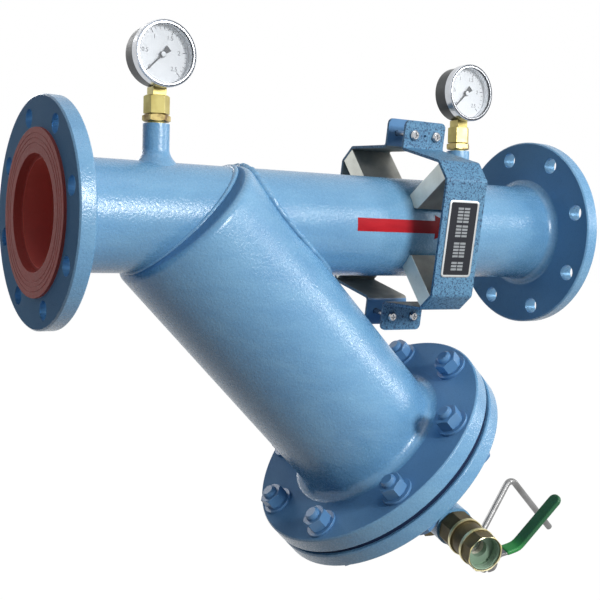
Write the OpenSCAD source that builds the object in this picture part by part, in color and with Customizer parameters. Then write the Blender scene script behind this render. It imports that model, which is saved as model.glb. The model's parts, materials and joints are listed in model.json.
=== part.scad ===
/* [Pipe run] */
// Outside diameter of the inlet and outlet pipes
pipe_od = 108; // [89:1:114]
// Wall of the inlet and outlet pipes
pipe_wall = 4; // [3:0.5:6]
// Distance between the two bolting faces
run_length = 618; // [560:1:680]
// Distance from the inlet bolting face to the crossing of the two axes
axes_x = 147; // [140:1:170]
// How far each pipe end stays back from its bolting face
pipe_setback = 5; // [3:0.5:9]

/* [Pipe flanges] */
// Outside diameter of a pipe flange
flange_od = 215; // [200:1:220]
// Thickness of a pipe flange behind its bolting face
flange_t = 16; // [14:1:24]
// Diameter of the raised sealing face
face_d = 155; // [150:1:158]
// Height of the raised sealing face
face_h = 3; // [2:0.5:3]
// Number of sealing grooves cut in a raised face
groove_count = 3; // [2:1:4]
// Bolt circle of a pipe flange
flange_pcd = 180; // [175:1:185]
// Bolt holes in a pipe flange
flange_holes = 8; // [4:4:8]
// Diameter of a pipe flange bolt hole
flange_hole_d = 18; // [16:0.5:19]
// Turn of the bolt holes of both pipe flanges about the pipe
flange_hole_turn = 8.5; // [0:0.5:22.5]
// Chamfer on the rims of the flanges and the cover
rim_chamfer = 1.5; // [0.5:0.1:3]
// Leg of the fillet weld behind a pipe flange
flange_weld = 9; // [5:0.5:12]

/* [Barrel] */
// Slope of the filter barrel below the pipe run
branch_angle = 45; // [40:1:50]
// Outside diameter of the filter barrel
barrel_od = 165; // [159:1:168]
// Wall of the filter barrel
barrel_wall = 6; // [4:0.5:7]
// Distance along the barrel from the axes crossing to its flange
barrel_length = 326; // [300:1:350]
// Thickness of the plate that closes the barrel at the inlet
end_plate_t = 10; // [8:0.5:11]
// Rounding of the end plate's outer edge
end_plate_round = 8; // [4:0.5:9]
// Leg of the fillet weld between barrel and flange
barrel_weld = 12; // [8:1:14]

/* [Cover] */
// How far the barrel flange and the cover stand out past the barrel
cover_overhang = 59.5; // [56:0.5:64]
// Thickness of the barrel flange
barrel_flange_t = 20; // [16:1:24]
// Thickness of the cover
cover_t = 18; // [16:1:24]
// Thickness of the gasket between them
gasket_t = 6; // [3:0.5:7]
// Distance from the cover's rim to its bolt circle
cover_bolt_edge = 21; // [19:0.5:26]
// Cover bolts
cover_bolts_n = 8; // [8:4:12]
// Turn of the bolt circle about the barrel
bolt_turn = 3.75; // [0:0.25:22.5]
// Thread diameter of a cover bolt
bolt_d = 16; // [14:1:20]
// Width across flats of a cover bolt head and nut
bolt_af = 24; // [22:1:30]
// Height of a cover bolt head
bolt_head_h = 10; // [8:0.5:13]
// Height of a cover nut
nut_h = 13; // [10:0.5:16]
// Length of thread that stands out of a cover nut
bolt_proud = 5; // [3:0.5:8]
// Outside diameter of a cover washer
washer_od = 34; // [30:0.5:37]
// Thickness of a cover washer
washer_t = 3; // [2:0.5:4]

/* [Screen and brush] */
// Inside radius of the screen mesh
mesh_r = 60; // [56:0.5:62]
// Thickness of the screen mesh
mesh_t = 0.6; // [0.4:0.1:1]
// Thickness of the perforated cage round the mesh
cage_t = 1.8; // [1.5:0.1:2.5]
// Diameter of a cage perforation
cage_hole_d = 18; // [12:1:20]
// Perforations in one ring of the cage
cage_holes_n = 10; // [8:1:12]
// Rings of perforations along the cage
cage_rows = 8; // [6:1:10]
// Radius of the opening in the end plate
port_r = 49; // [40:1:49]
// Gap between the bristle tips and the mesh
brush_gap = 0.4; // [0.3:0.1:1]

/* [Crank] */
// Diameter of the crank rod
rod_d = 8; // [7:0.5:12]
// Distance from the cover's outer face to the crank arm
arm_reach = 179; // [165:1:190]
// Radius that the crank grip turns on
arm_length = 121; // [100:1:130]
// Length of the crank grip past the arm
grip_length = 101; // [80:1:110]
// Bend radius of the crank rod at its middle line
rod_bend = 12; // [10:0.5:18]
// Angle of the crank arm about the barrel axis at rest
arm_roll = 170; // [0:1:360]

/* [Drain] */
// Outside diameter of the drain chamber on the cover
chamber_od = 60; // [54:1:64]
// Length of the drain chamber
chamber_length = 69; // [66:1:80]
// Distance from the cover's outer face to the drain valve axis
drain_rise = 37; // [35:1:44]
// How far the drain valve points down from level
drain_roll = 16; // [0:1:40]
// Outside diameter of the drain branch
drain_branch_od = 41; // [40:1:50]
// Distance from the barrel axis to the end of the drain branch
drain_branch_end = 118; // [110:1:122]
// Outside diameter of the drain nipple's thread
nipple_od = 33.2; // [30:0.1:34]

/* [Drain valve] */
// Width across flats of the octagon valve ends
valve_af = 36; // [35.5:0.5:41]
// Radius of the two ring collars on the valve
valve_collar_r = 19.6; // [18.5:0.1:22]
// Radius of the valve's round middle
valve_r = 17.6; // [17:0.1:18]
// Length of the valve body from its inlet to the joint
valve_body_length = 43; // [42:1:54]
// Length of the screwed end from the joint to the mouth
valve_end_length = 19; // [18:1:28]
// Radius of the valve ball
ball_r = 12.5; // [12:0.1:13]
// Radius of the way through the ball
ball_port_r = 8.5; // [7.5:0.1:9]
// Diameter of the valve stem
stem_d = 9; // [8:0.5:10]
// Width of the steel lever
lever_w = 14; // [12:0.5:18]
// Thickness of the steel lever
lever_t = 3; // [2.5:0.5:4]
// Width of the plastic sleeve on the lever
sleeve_w = 16; // [16:0.5:22]
// Thickness of the plastic sleeve on the lever
sleeve_t = 5; // [4.5:0.5:8]
// Bend radius of the lever at its middle line
lever_bend = 7; // [6:0.5:10]

/* [Gauges] */
// Distance from the inlet bolting face to the inlet gauge
inlet_gauge_x = 118.5; // [110:0.5:122]
// Distance from the inlet bolting face to the outlet gauge
outlet_gauge_x = 500; // [490:0.5:520]
// Height of both dial centres above the pipe axis
dial_z = 155; // [150:0.5:160]
// Outside radius of a gauge case
case_r = 30; // [28:0.5:31]
// Depth of a gauge case
case_depth = 24; // [20:0.5:28]
// Wall of a gauge case
case_wall = 1.5; // [1.2:0.1:2]
// Radius of a gauge weld boss
boss_r = 13; // [12:0.5:15]
// Height of the weld boss tops above the pipe axis
boss_top = 90; // [86:0.5:92]
// Width across flats of a brass adapter
adapter_af = 22; // [19:0.5:24]
// Width across flats of a brass locknut
locknut_af = 24; // [22:0.5:27]
// Side of the square on a gauge stem
stem_square = 14; // [12:0.5:14]

/* [Collar] */
// Distance from the inlet bolting face to the middle of the collar
collar_x = 424.5; // [415:0.5:432]
// Turn of the collar about the pipe
collar_roll = 9; // [0:0.5:12]
// Rise of the collar above the pipe axis
collar_rise = 2.5; // [0:0.5:4]
// Width of the collar strip
strip_w = 55; // [48:1:58]
// Thickness of the collar strip
strip_t = 3; // [2:0.5:4]
// Bend radius of the collar strip at its middle line
strip_bend = 4; // [3:0.5:5]
// Rounding of the ears' outer corners
ear_round = 6; // [2:0.5:8]
// Distance from the pipe axis to the collar's front face
collar_y = 94; // [88:1:98]
// Half height of the collar's front face
collar_face_z = 61; // [54:1:64]
// Half gap between the two pairs of ears
ear_y = 15; // [12:0.5:18]
// Height of the ear ends from the collar's middle
ear_z = 116; // [110:1:122]
// Width of a collar block across the strip
block_w = 20; // [16:1:22]
// Spacing of the two screws in a pair of ears
screw_pitch = 30; // [24:1:34]
// Diameter of a collar screw
screw_d = 6; // [5:0.5:7]
// Width of the plate on the collar's front face
plate_w = 40; // [36:1:44]
// Height of the plate on the collar's front face
plate_h = 81; // [64:1:88]

/* [Fits] */
// Radial clearance of a turning fit
run_gap = 0.05; // [0.02:0.01:0.1]
// Radial clearance of a slip fit between fixed pieces
slip_gap = 0.1; // [0.05:0.01:0.5]

/* [Hidden] */
$fn = 64;
bend_steps = 6;
big = 900;
pipe_r = pipe_od / 2;
pipe_bore_r = pipe_r - pipe_wall;
barrel_r = barrel_od / 2;
barrel_bore_r = barrel_r - barrel_wall;
flange_z1 = barrel_length + barrel_flange_t;
cover_z0 = flange_z1 + gasket_t;
cover_z1 = cover_z0 + cover_t;
barrel_inset = 7;
barrel_end = flange_z1 - barrel_inset;
groove_w = 1;
groove_depth = 0.4;
groove_pitch = 4.5;
groove_margin = 8.5;
gasket_inset = 4;
cover_od = barrel_od + 2 * cover_overhang;
cover_pcd = cover_od - 2 * cover_bolt_edge;
bolt_hole_clear = 1;
bolt_hole_r = bolt_d / 2 + bolt_hole_clear;
bolt_chamfer = 2;
washer_clear = 0.5;
cage_r0 = mesh_r + mesh_t + slip_gap;
cage_r1 = cage_r0 + cage_t;
ring_w = 5;
ring_h = 10;
spigot_r = mesh_r - 4 * slip_gap;
spigot_h = 6;
pilot_wall = 5;
pilot_arm_w = 5;
pilot_arm_inset = 1;
brush_back = 16;
brush_front = 6;
brush_z0 = end_plate_t + brush_back;
brush_z1 = cover_z0 - spigot_h - brush_front;
brush_w = 12;
bar_r = 44;
bar_t = 6;
bar_w = 18;
hub_wall = 7;
hub_h = 20;
hub_inset = 30;
spoke_w = 8;
spoke_h = 12;
rod_r = rod_d / 2;
rod_top = 2;
rod_chamfer = 1;
arm_z = cover_z1 + arm_reach;
crank_path = [
    [0, rod_top], [0, arm_z], [arm_length, arm_z], [arm_length, arm_z + grip_length - rod_chamfer]
];
chamber_wall = 2.6;
chamber_weld = 6;
chamber_r = chamber_od / 2;
chamber_bore_r = chamber_r - chamber_wall;
chamber_z1 = cover_z1 + chamber_length;
drain_z = cover_z1 + drain_rise;
gland_boss_r = 17;
gland_boss_h = 22;
gland_flange_t = 10;
gland_boss_z = chamber_z1 + gland_flange_t + gland_boss_h;
packing_r = 10;
packing_floor = 13;
packing_nose = 5;
packing_z0 = chamber_z1 + packing_floor;
packing_z1 = gland_boss_z - packing_nose;
gland_nut_af = 41;
gland_nut_h = 22;
gland_thread = 14;
nipple_wall = 3.6;
nipple_engage = 11;
nipple_gap = 1;
nipple_r = nipple_od / 2;
thread_r = nipple_r + slip_gap;
valve_gap = 2;
valve_x0 = drain_branch_end + valve_gap;
valve_x1 = valve_x0 + valve_body_length;
valve_x2 = valve_x1 + valve_end_length;
valve_collar_t = 3.5;
octagon_t = 20.5;
mouth_depth = 13;
mouth_chamfer = 2;
valve_joint = 4;
joint_wall = 2;
ball_back = 15;
ball_x = valve_x1 - ball_back;
seat_r = 14;
seat_w = 7;
seat_wall = 0.5;
seat_x0 = ball_x - ball_back;
stem_r = stem_d / 2;
tang_w = 5;
tang_h = 2.5;
stem_boss_r = 10;
stem_boss_z = 30;
packing_ring = 2.5;
packing_well = 7;
stem_gland_af = 17;
stem_gland_h = 6;
stem_gland_z = stem_boss_z + stem_gland_h;
lever_clear = 1;
lever_z = stem_gland_z + lever_clear;
lever_mid = lever_z + lever_t / 2;
lever_nose = 12;
lever_root = 14;
lever_knee = 33;
lever_rise = 11;
lever_tip = 96;
lever_drop = 8.6;
sleeve_start = 20;
sleeve_tip = 101;
lever_nut_af = 13;
lever_nut_h = 6;
stem_proud = 2;
stem_top = lever_z + lever_t + lever_nut_h + stem_proud;
lever_path = [
    [-lever_nose, lever_mid], [lever_root, lever_mid],
    [lever_knee, lever_mid + lever_rise], [lever_tip, lever_mid + lever_rise - lever_drop]
];
sleeve_path = [
    on_line(lever_path[1], lever_path[2], sleeve_start), lever_path[2],
    on_line(lever_path[2], lever_path[3], sleeve_tip)
];
dial_clear = 0.3;
dial_t = 1;
dial_depth = 8;
dial_r = case_r - case_wall - dial_clear;
case_back = -7;
case_front = case_back + case_depth;
ledge_z = case_front - dial_depth;
ledge_w = 2;
case_bore_r = case_r - case_wall;
ledge_r = case_bore_r - ledge_w;
lens_t = 2.4;
bezel_t = 1.8;
bezel_grip = 6;
bezel_lip = 2;
bezel_round = 1.25;
arbor_r = 1.2;
arbor_back = 6;
pointer_rise = 2.6;
pointer_t = 0.8;
pointer_tip = 22;
pointer_tip_w = 0.8;
pointer_root_w = 1.8;
pointer_tail = 9;
pointer_tail_w = 7;
pointer_hub_r = 3;
pointer_hub_h = 2.2;
socket_w = 10;
socket_t = 7;
tube_r = 16;
tube_t = 3;
tube_w = 6;
boss_foot = 8;
boss_flare = 16;
boss_flare_turn = 40;
boss_flare_rise = 2.5;
boss_skirt = boss_r + boss_flare * (1 - cos(boss_flare_turn));
boss_flare_z = pipe_r + boss_flare_rise + boss_flare * sin(boss_flare_turn);
boss_foot_r = boss_skirt + (boss_foot + boss_flare_rise) * tan(boss_flare_turn);
tap_r = 8;
tap_depth = 20;
tap_bore_r = 3;
tap_wall = 2;
locknut_gap = 2;
locknut_h = 6.5;
adapter_gap = 1;
adapter_z0 = boss_top + locknut_gap + locknut_h + adapter_gap;
square_h = 8;
adapter_z1 = dial_z - case_r - square_h;
stem_thread_r = 7;
stem_engage = 12;
stem_bore_r = 2.5;
gauge_spigot_r = 6;
gauge_spigot_h = 6;
spigot_top = dial_z - case_r + gauge_spigot_h;
roof_y = 78;
roof_z = 78;
ear_root_z = 85;
ear_mid_z = (ear_root_z + ear_z) / 2;
ear_hole_r = 1.6;
bevel = [collar_y - roof_y, roof_z - collar_face_z];
block_len = 90;
block_clear_y = 20;
block_clear_z = 25;
screw_r = screw_d / 2;
screw_clear = 0.4;
screw_head_r = 5.5;
screw_crown_r = 4;
screw_rim = 2;
screw_crown = 1.6;
screw_proud = 8;
recess_l = 6;
recess_w = 1.2;
recess_depth = 2;
collar_nut_af = 10;
collar_nut_h = 5;
plate_t = 1;
plate_round = 4;
collar_half = [
    [-ear_y, ear_z], [-ear_y, ear_root_z], [-roof_y, roof_z], [-collar_y, collar_face_z],
    [-collar_y, -collar_face_z], [-roof_y, -roof_z], [-ear_y, -ear_root_z], [-ear_y, -ear_z]
];

blue = [0.29, 0.47, 0.66];
brass = [0.72, 0.6, 0.28];
steel = [0.75, 0.76, 0.77];

function unit(v) = v / norm(v);
function left(v) = [-v[1], v[0]];
function heading(v) = atan2(v[1], v[0]);
// Point at x on the line through a and b
function on_line(a, b, x) = a + (b - a) * (x - a[0]) / (b[0] - a[0]);

// Direction of run i of a path, and the angle that the path turns through at point i
function way(p, i) = unit(p[i + 1] - p[i]);
function turn(p, i) = asin(cross(way(p, i - 1), way(p, i)));
// Length that a bend of radius r takes off the runs at point i, and the middle of that bend
function trim(p, i, r) = i == 0 || i == len(p) - 1 ? 0 : r * tan(abs(turn(p, i)) / 2);
function bend_centre(p, i, r) =
    p[i] - trim(p, i, r) * way(p, i - 1) + sign(turn(p, i)) * r * left(way(p, i - 1));
// Path with its corners made round
function bend_arc(p, i, r) =
    let (h = heading(way(p, i - 1)), a = turn(p, i), c = bend_centre(p, i, r))
    [for (k = [0 : bend_steps]) let (b = h + a * k / bend_steps) c - sign(a) * r * left([cos(b), sin(b)])];
function bent_line(p, r) =
    concat([p[0]], [for (i = [1 : len(p) - 2]) each bend_arc(p, i, r)], [p[len(p) - 1]]);

// Outline of a strip: its middle line moved half a thickness to each side
function mitre(p, i) =
    let (a = left(way(p, max(i, 1) - 1)), b = left(way(p, min(i, len(p) - 2))))
    (a + b) / (1 + a * b);
function ribbon(p, t) = concat(
    [for (i = [0 : len(p) - 1]) p[i] + mitre(p, i) * t / 2],
    [for (i = [len(p) - 1 : -1 : 0]) p[i] - mitre(p, i) * t / 2]
);

// Strip of thickness t and width w along a path with round bends, with its width along Z
module bent_strip(path, bend, t, w) {
    translate([0, 0, -w / 2]) linear_extrude(w) polygon(ribbon(bent_line(path, bend), t));
}

// Rod of radius r along a path with round bends
module bent_rod(path, bend, r) {
    for (i = [0 : len(path) - 2])
        translate(path[i] + trim(path, i, bend) * way(path, i)) rotate([0, 0, heading(way(path, i))])
            rotate([90, 0, 90]) linear_extrude(
                norm(path[i + 1] - path[i]) - trim(path, i, bend) - trim(path, i + 1, bend)) circle(r = r);
    for (i = [1 : len(path) - 2]) {
        s = sign(turn(path, i));
        translate(bend_centre(path, i, bend)) rotate([0, 0, heading(way(path, i - 1)) - s * 90])
            mirror([0, s > 0 ? 0 : 1, 0]) rotate_extrude(angle = abs(turn(path, i)))
            translate([bend, 0]) circle(r = r);
    }
}

// What a round of radius r takes off a corner at the origin that points along +X and +Y
module corner_waste(r) {
    translate([-r, -r]) difference() {
        square(2 * r);
        circle(r = r);
    }
}

// Rectangle with round corners about its middle
module round_rect(x, y, r) {
    difference() {
        square([x, y], center = true);
        for (i = [0, 1]) for (j = [0, 1]) mirror([i, 0]) mirror([0, j])
            translate([x / 2, y / 2]) corner_waste(r);
    }
}

// Places its children on the pipe run, with Z along the flow
module on_run(x) {
    translate([x, 0, 0]) rotate([0, 90, 0]) children();
}

// Places its children on the barrel, with Z along the barrel away from the pipe run
module on_barrel(z = 0) {
    translate([axes_x, 0, 0]) rotate([0, 90 + branch_angle, 0]) translate([0, 0, z]) children();
}

// Places its children on the drain valve, with X along the valve and Z along its stem
module on_drain() {
    on_barrel(drain_z) rotate([0, 0, drain_roll - 90]) children();
}

// Places its children at a dial centre, with Z towards the reader
module on_dial(x) {
    translate([x, 0, dial_z]) rotate([90, 0, 0]) children();
}

// Places its children on the collar, with X along the pipe
module on_collar() {
    translate([collar_x, 0, collar_rise]) rotate([collar_roll, 0, 0]) children();
}

module tube(r1, r0, h) {
    difference() {
        cylinder(r = r1, h = h);
        translate([0, 0, -1]) cylinder(r = r0, h = h + 2);
    }
}

// Hexagon prism, with the corners at one or both ends turned off round
module hex(af, h, low = false, high = true) {
    reach = 0.1 * af;
    slope = reach * tan(30);
    intersection() {
        cylinder(d = af / cos(30), h = h, $fn = 6);
        rotate_extrude() polygon([
            [0, 0], [af / 2 + (low ? 0 : reach), 0], [af / 2 + reach, low ? slope : 0],
            [af / 2 + reach, high ? h - slope : h], [af / 2 + (high ? 0 : reach), h], [0, h]
        ]);
    }
}

// Round plate with a chamfered rim
module rim_plate(d, h) {
    rotate_extrude() polygon([
        [0, 0], [d / 2 - rim_chamfer, 0], [d / 2, rim_chamfer],
        [d / 2, h - rim_chamfer], [d / 2 - rim_chamfer, h], [0, h]
    ]);
}

// Repeats its children on the barrel flange's bolt circle
module on_cover_circle() {
    for (i = [0 : cover_bolts_n - 1])
        rotate([0, 0, (i + 0.5) * 360 / cover_bolts_n + bolt_turn])
            translate([cover_pcd / 2, 0, 0]) children();
}

// Concave fillet ring in the corner of a shaft of radius r and the plane z = 0
module fillet_ring(r, leg) {
    rotate_extrude() difference() {
        translate([r, 0]) square(leg);
        translate([r + leg, leg]) circle(r = leg);
    }
}

// Slip-on pipe flange, bolting face on z = 0 and raised face below it
module pipe_flange() {
    difference() {
        union() {
            rim_plate(flange_od, flange_t);
            translate([0, 0, -face_h]) cylinder(d = face_d, h = face_h + 1);
        }
        translate([0, 0, -big / 2]) cylinder(r = pipe_r + slip_gap, h = big);
        for (i = [0 : flange_holes - 1])
            rotate([0, 0, (i + 0.5) * 360 / flange_holes + flange_hole_turn])
                translate([flange_pcd / 2, 0, -big / 2]) cylinder(d = flange_hole_d, h = big);
        for (i = [1 : groove_count])
            translate([0, 0, -face_h - 1]) {
                inner = pipe_r + groove_margin + groove_pitch * (i - 1);
                tube(inner + groove_w, inner, 1 + groove_depth);
            }
    }
}

module inlet_pipe() {
    color(blue) difference() {
        on_run(pipe_setback) tube(pipe_r, pipe_bore_r, axes_x + pipe_od);
        on_barrel() translate([-big / 2, -big / 2, 0]) cube(big);
        translate([inlet_gauge_x, 0, 0]) cylinder(r = tap_r - tap_wall, h = pipe_od);
    }
}

module outlet_pipe() {
    color(blue) difference() {
        on_run(axes_x) tube(pipe_r, pipe_bore_r, run_length - pipe_setback - axes_x);
        on_barrel(-big / 2) cylinder(r = barrel_r, h = big);
        translate([outlet_gauge_x, 0, 0]) cylinder(r = tap_r - tap_wall, h = pipe_od);
    }
}

module filter_barrel() {
    color(blue) difference() {
        on_barrel(end_plate_t) tube(barrel_r, barrel_bore_r, barrel_end - end_plate_t);
        on_run(axes_x) cylinder(r = pipe_bore_r, h = big);
    }
}

module barrel_end_plate() {
    color(blue) on_barrel() rotate_extrude() difference() {
        translate([port_r, 0]) square([barrel_r - port_r, end_plate_t]);
        translate([barrel_r - end_plate_round, 0]) difference() {
            square(end_plate_round);
            translate([0, end_plate_round]) circle(r = end_plate_round);
        }
    }
}

module inlet_flange() {
    color(blue) on_run(0) pipe_flange();
}

module outlet_flange() {
    color(blue) on_run(run_length) mirror([0, 0, 1]) pipe_flange();
}

module barrel_flange() {
    color(blue) on_barrel(barrel_length) difference() {
        rim_plate(cover_od, barrel_flange_t);
        translate([0, 0, -1]) cylinder(r = barrel_r + slip_gap, h = barrel_flange_t + 2);
        on_cover_circle() translate([0, 0, -1]) cylinder(r = bolt_hole_r, h = barrel_flange_t + 2);
    }
}

// Fillet welds behind the two pipe flanges and the barrel flange, and round the drain chamber
module weld_beads() {
    color(blue) {
        on_run(flange_t) fillet_ring(pipe_r, flange_weld);
        on_run(run_length - flange_t) mirror([0, 0, 1]) fillet_ring(pipe_r, flange_weld);
        on_barrel(barrel_length) mirror([0, 0, 1]) fillet_ring(barrel_r, barrel_weld);
        on_barrel(cover_z1) fillet_ring(chamber_r, chamber_weld);
    }
}

module cover_gasket() {
    color([0.13, 0.13, 0.16]) on_barrel(flange_z1) difference() {
        tube(cover_od / 2 - gasket_inset, barrel_r + slip_gap, gasket_t);
        on_cover_circle() translate([0, 0, -1]) cylinder(r = bolt_hole_r, h = gasket_t + 2);
    }
}

// Blind cover with a turned spigot that centres the screen and a port into the drain chamber
module cover_plate() {
    color(blue) on_barrel(cover_z0) difference() {
        union() {
            rim_plate(cover_od, cover_t);
            translate([0, 0, -spigot_h]) cylinder(r = spigot_r, h = spigot_h + 1);
        }
        translate([0, 0, -big / 2]) cylinder(r = chamber_bore_r, h = big);
        on_cover_circle() translate([0, 0, -1]) cylinder(r = bolt_hole_r, h = cover_t + 2);
    }
}

module cover_bolts() {
    bolt_tip = barrel_length - washer_t - nut_h - bolt_proud;
    color(blue) on_barrel() on_cover_circle() {
        translate([0, 0, cover_z1]) hex(bolt_af, bolt_head_h);
        translate([0, 0, bolt_tip + bolt_chamfer]) cylinder(d = bolt_d, h = cover_z1 - bolt_tip);
        translate([0, 0, bolt_tip]) cylinder(d1 = bolt_d - 2 * bolt_chamfer, d2 = bolt_d, h = bolt_chamfer);
    }
}

// Plain hexagon nuts on the barrel side
module cover_nuts() {
    color(blue) on_barrel(barrel_length - washer_t - nut_h) on_cover_circle() difference() {
        hex(bolt_af, nut_h, true, true);
        translate([0, 0, -1]) cylinder(d = bolt_d + 2 * run_gap, h = nut_h + 2);
    }
}

module cover_washers() {
    color(blue) on_barrel(barrel_length - washer_t) on_cover_circle()
        tube(washer_od / 2, bolt_d / 2 + washer_clear, washer_t);
}

// Perforated cage with staggered rings of holes
module screen_cage() {
    z0 = end_plate_t + slip_gap;
    pitch = (cover_z0 - z0) / (cage_rows + 0.8);
    color(steel) on_barrel() difference() {
        translate([0, 0, z0]) tube(cage_r1, cage_r0, cover_z0 - z0 - slip_gap);
        for (k = [1 : cage_rows]) for (i = [0 : cage_holes_n - 1])
            rotate([0, 90, (i + (k % 2) / 2) * 360 / cage_holes_n])
                translate([-z0 - (k - 0.1) * pitch, 0, cage_r0 / 2]) cylinder(d = cage_hole_d, h = cage_r1);
    }
}

module screen_mesh() {
    z0 = end_plate_t + slip_gap;
    color([0.6, 0.6, 0.6]) on_barrel(z0) tube(mesh_r + mesh_t, mesh_r, cover_z0 - z0 - slip_gap);
}

module screen_rings() {
    color(steel) {
        on_barrel(end_plate_t) tube(cage_r1 + ring_w, cage_r1 + slip_gap / 2, ring_h);
        on_barrel(cover_z0 - ring_h) tube(cage_r1 + ring_w, cage_r1 + slip_gap / 2, ring_h);
    }
}

// Bush on three arms that steadies the crank rod in the end plate's opening
module pilot_spider() {
    color(steel) on_barrel() difference() {
        intersection() {
            union() {
                cylinder(r = rod_r + pilot_wall, h = end_plate_t);
                for (i = [0 : 2]) rotate([0, 0, 60 + 120 * i])
                    translate([0, -pilot_arm_w / 2, pilot_arm_inset])
                        cube([port_r + 1, pilot_arm_w, end_plate_t - 2 * pilot_arm_inset]);
            }
            cylinder(r = port_r - slip_gap / 2, h = end_plate_t);
        }
        translate([0, 0, -1]) cylinder(r = rod_r + run_gap, h = end_plate_t + 2);
    }
}

// Two hubs with spokes that carry the two brush bars
module brush_holder() {
    color(steel) on_barrel() difference() {
        union() {
            for (z = [brush_z0 + hub_inset, brush_z1 - hub_inset - hub_h]) translate([0, 0, z]) {
                cylinder(r = rod_r + hub_wall, h = hub_h);
                translate([-bar_r, -spoke_w / 2, (hub_h - spoke_h) / 2])
                    cube([2 * bar_r, spoke_w, spoke_h]);
            }
            for (s = [-1, 1])
                translate([s * bar_r - bar_t / 2, -bar_w / 2, brush_z0])
                    cube([bar_t, bar_w, brush_z1 - brush_z0]);
        }
        cylinder(r = rod_r + slip_gap / 5, h = cover_z0);
    }
}

// Bristle strips trimmed round to run just inside the mesh
module brush_strips() {
    color([0.85, 0.83, 0.75]) on_barrel() intersection() {
        for (i = [0, 1]) mirror([i, 0, 0])
            translate([bar_r + bar_t / 2, -brush_w / 2, brush_z0])
                cube([mesh_r, brush_w, brush_z1 - brush_z0]);
        translate([0, 0, brush_z0]) cylinder(r = mesh_r - brush_gap, h = brush_z1 - brush_z0);
    }
}

// One bent rod: shaft, arm and grip
module crank_rod() {
    color(steel) on_barrel() rotate([0, 0, arm_roll]) {
        rotate([90, 0, 0]) bent_rod(crank_path, rod_bend, rod_r);
        translate([arm_length, 0, arm_z + grip_length - rod_chamfer])
            cylinder(r1 = rod_r, r2 = rod_r - rod_chamfer, h = rod_chamfer);
    }
}

module drain_chamber() {
    color(blue) difference() {
        on_barrel(cover_z1) tube(chamber_r, chamber_bore_r, chamber_length);
        on_drain() rotate([0, 90, 0]) cylinder(r = thread_r, h = chamber_od);
    }
}

// End of the drain chamber with the rod's bush and the packing box
module gland_housing() {
    color(blue) on_barrel() difference() {
        union() {
            translate([0, 0, chamber_z1]) cylinder(r = chamber_r, h = gland_flange_t);
            translate([0, 0, chamber_z1]) cylinder(r = gland_boss_r, h = gland_boss_z - chamber_z1);
        }
        translate([0, 0, chamber_z1 - 1]) cylinder(r = rod_r + run_gap, h = big / 4);
        translate([0, 0, packing_z0]) cylinder(r = packing_r, h = big / 4);
    }
}

module gland_packing() {
    color([0.2, 0.2, 0.2]) on_barrel(packing_z0)
        tube(packing_r - slip_gap / 2, rod_r + run_gap, packing_z1 - packing_z0);
}

// Hexagon cap nut with a nose that presses the packing
module gland_nut() {
    color(brass) on_barrel(gland_boss_z - gland_thread) difference() {
        union() {
            difference() {
                hex(gland_nut_af, gland_nut_h);
                translate([0, 0, -1]) cylinder(r = gland_boss_r + slip_gap, h = gland_thread + 1 + slip_gap);
            }
            translate([0, 0, gland_thread - packing_nose])
                cylinder(r = packing_r - 2 * slip_gap, h = packing_nose + 1);
        }
        translate([0, 0, -1]) cylinder(r = rod_r + 2 * run_gap, h = gland_nut_h + 2);
    }
}

module drain_branch() {
    color(blue) difference() {
        on_drain() rotate([0, 90, 0]) tube(drain_branch_od / 2, thread_r, drain_branch_end);
        on_barrel() cylinder(r = chamber_r, h = big);
    }
}

module drain_nipple() {
    color(brass) on_drain() translate([drain_branch_end - nipple_engage, 0, 0]) rotate([0, 90, 0])
        tube(nipple_r, nipple_r - nipple_wall, 2 * nipple_engage);
}

// Octagon along the valve, with its corners turned off round at the high end
module octagon(h) {
    reach = 0.1 * valve_af;
    rotate([0, 90, 0]) intersection() {
        rotate([0, 0, 22.5]) cylinder(d = valve_af / cos(22.5), h = h, $fn = 8);
        rotate_extrude() polygon([
            [0, 0], [valve_af / 2 + reach, 0], [valve_af / 2 + reach, h - reach * tan(30)],
            [valve_af / 2, h], [0, h]
        ]);
    }
}

module along_valve(x, r, h) {
    translate([x, 0, 0]) rotate([0, 90, 0]) cylinder(r = r, h = h);
}

// Octagon inlet end, ring collar, ball barrel and stem boss in one casting
module valve_body() {
    color(brass) on_drain() difference() {
        union() {
            translate([valve_x0 + octagon_t, 0, 0]) mirror([1, 0, 0]) octagon(octagon_t);
            along_valve(valve_x0 + octagon_t, valve_collar_r, valve_collar_t);
            along_valve(valve_x0 + octagon_t, valve_r, valve_body_length - octagon_t);
            translate([ball_x, 0, 0]) cylinder(r = stem_boss_r, h = stem_boss_z);
        }
        along_valve(valve_x0 - 1, thread_r, nipple_engage - valve_gap + nipple_gap + 1);
        along_valve(valve_x0, ball_port_r, valve_body_length);
        along_valve(seat_x0, seat_r, big / 4);
        along_valve(valve_x1 - valve_joint, seat_r + joint_wall + slip_gap, big / 4);
        translate([ball_x, 0, 0]) cylinder(r = stem_r + run_gap, h = big / 4);
        translate([ball_x, 0, stem_boss_z - packing_well]) cylinder(r = stem_r + packing_ring, h = big / 4);
    }
}

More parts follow.
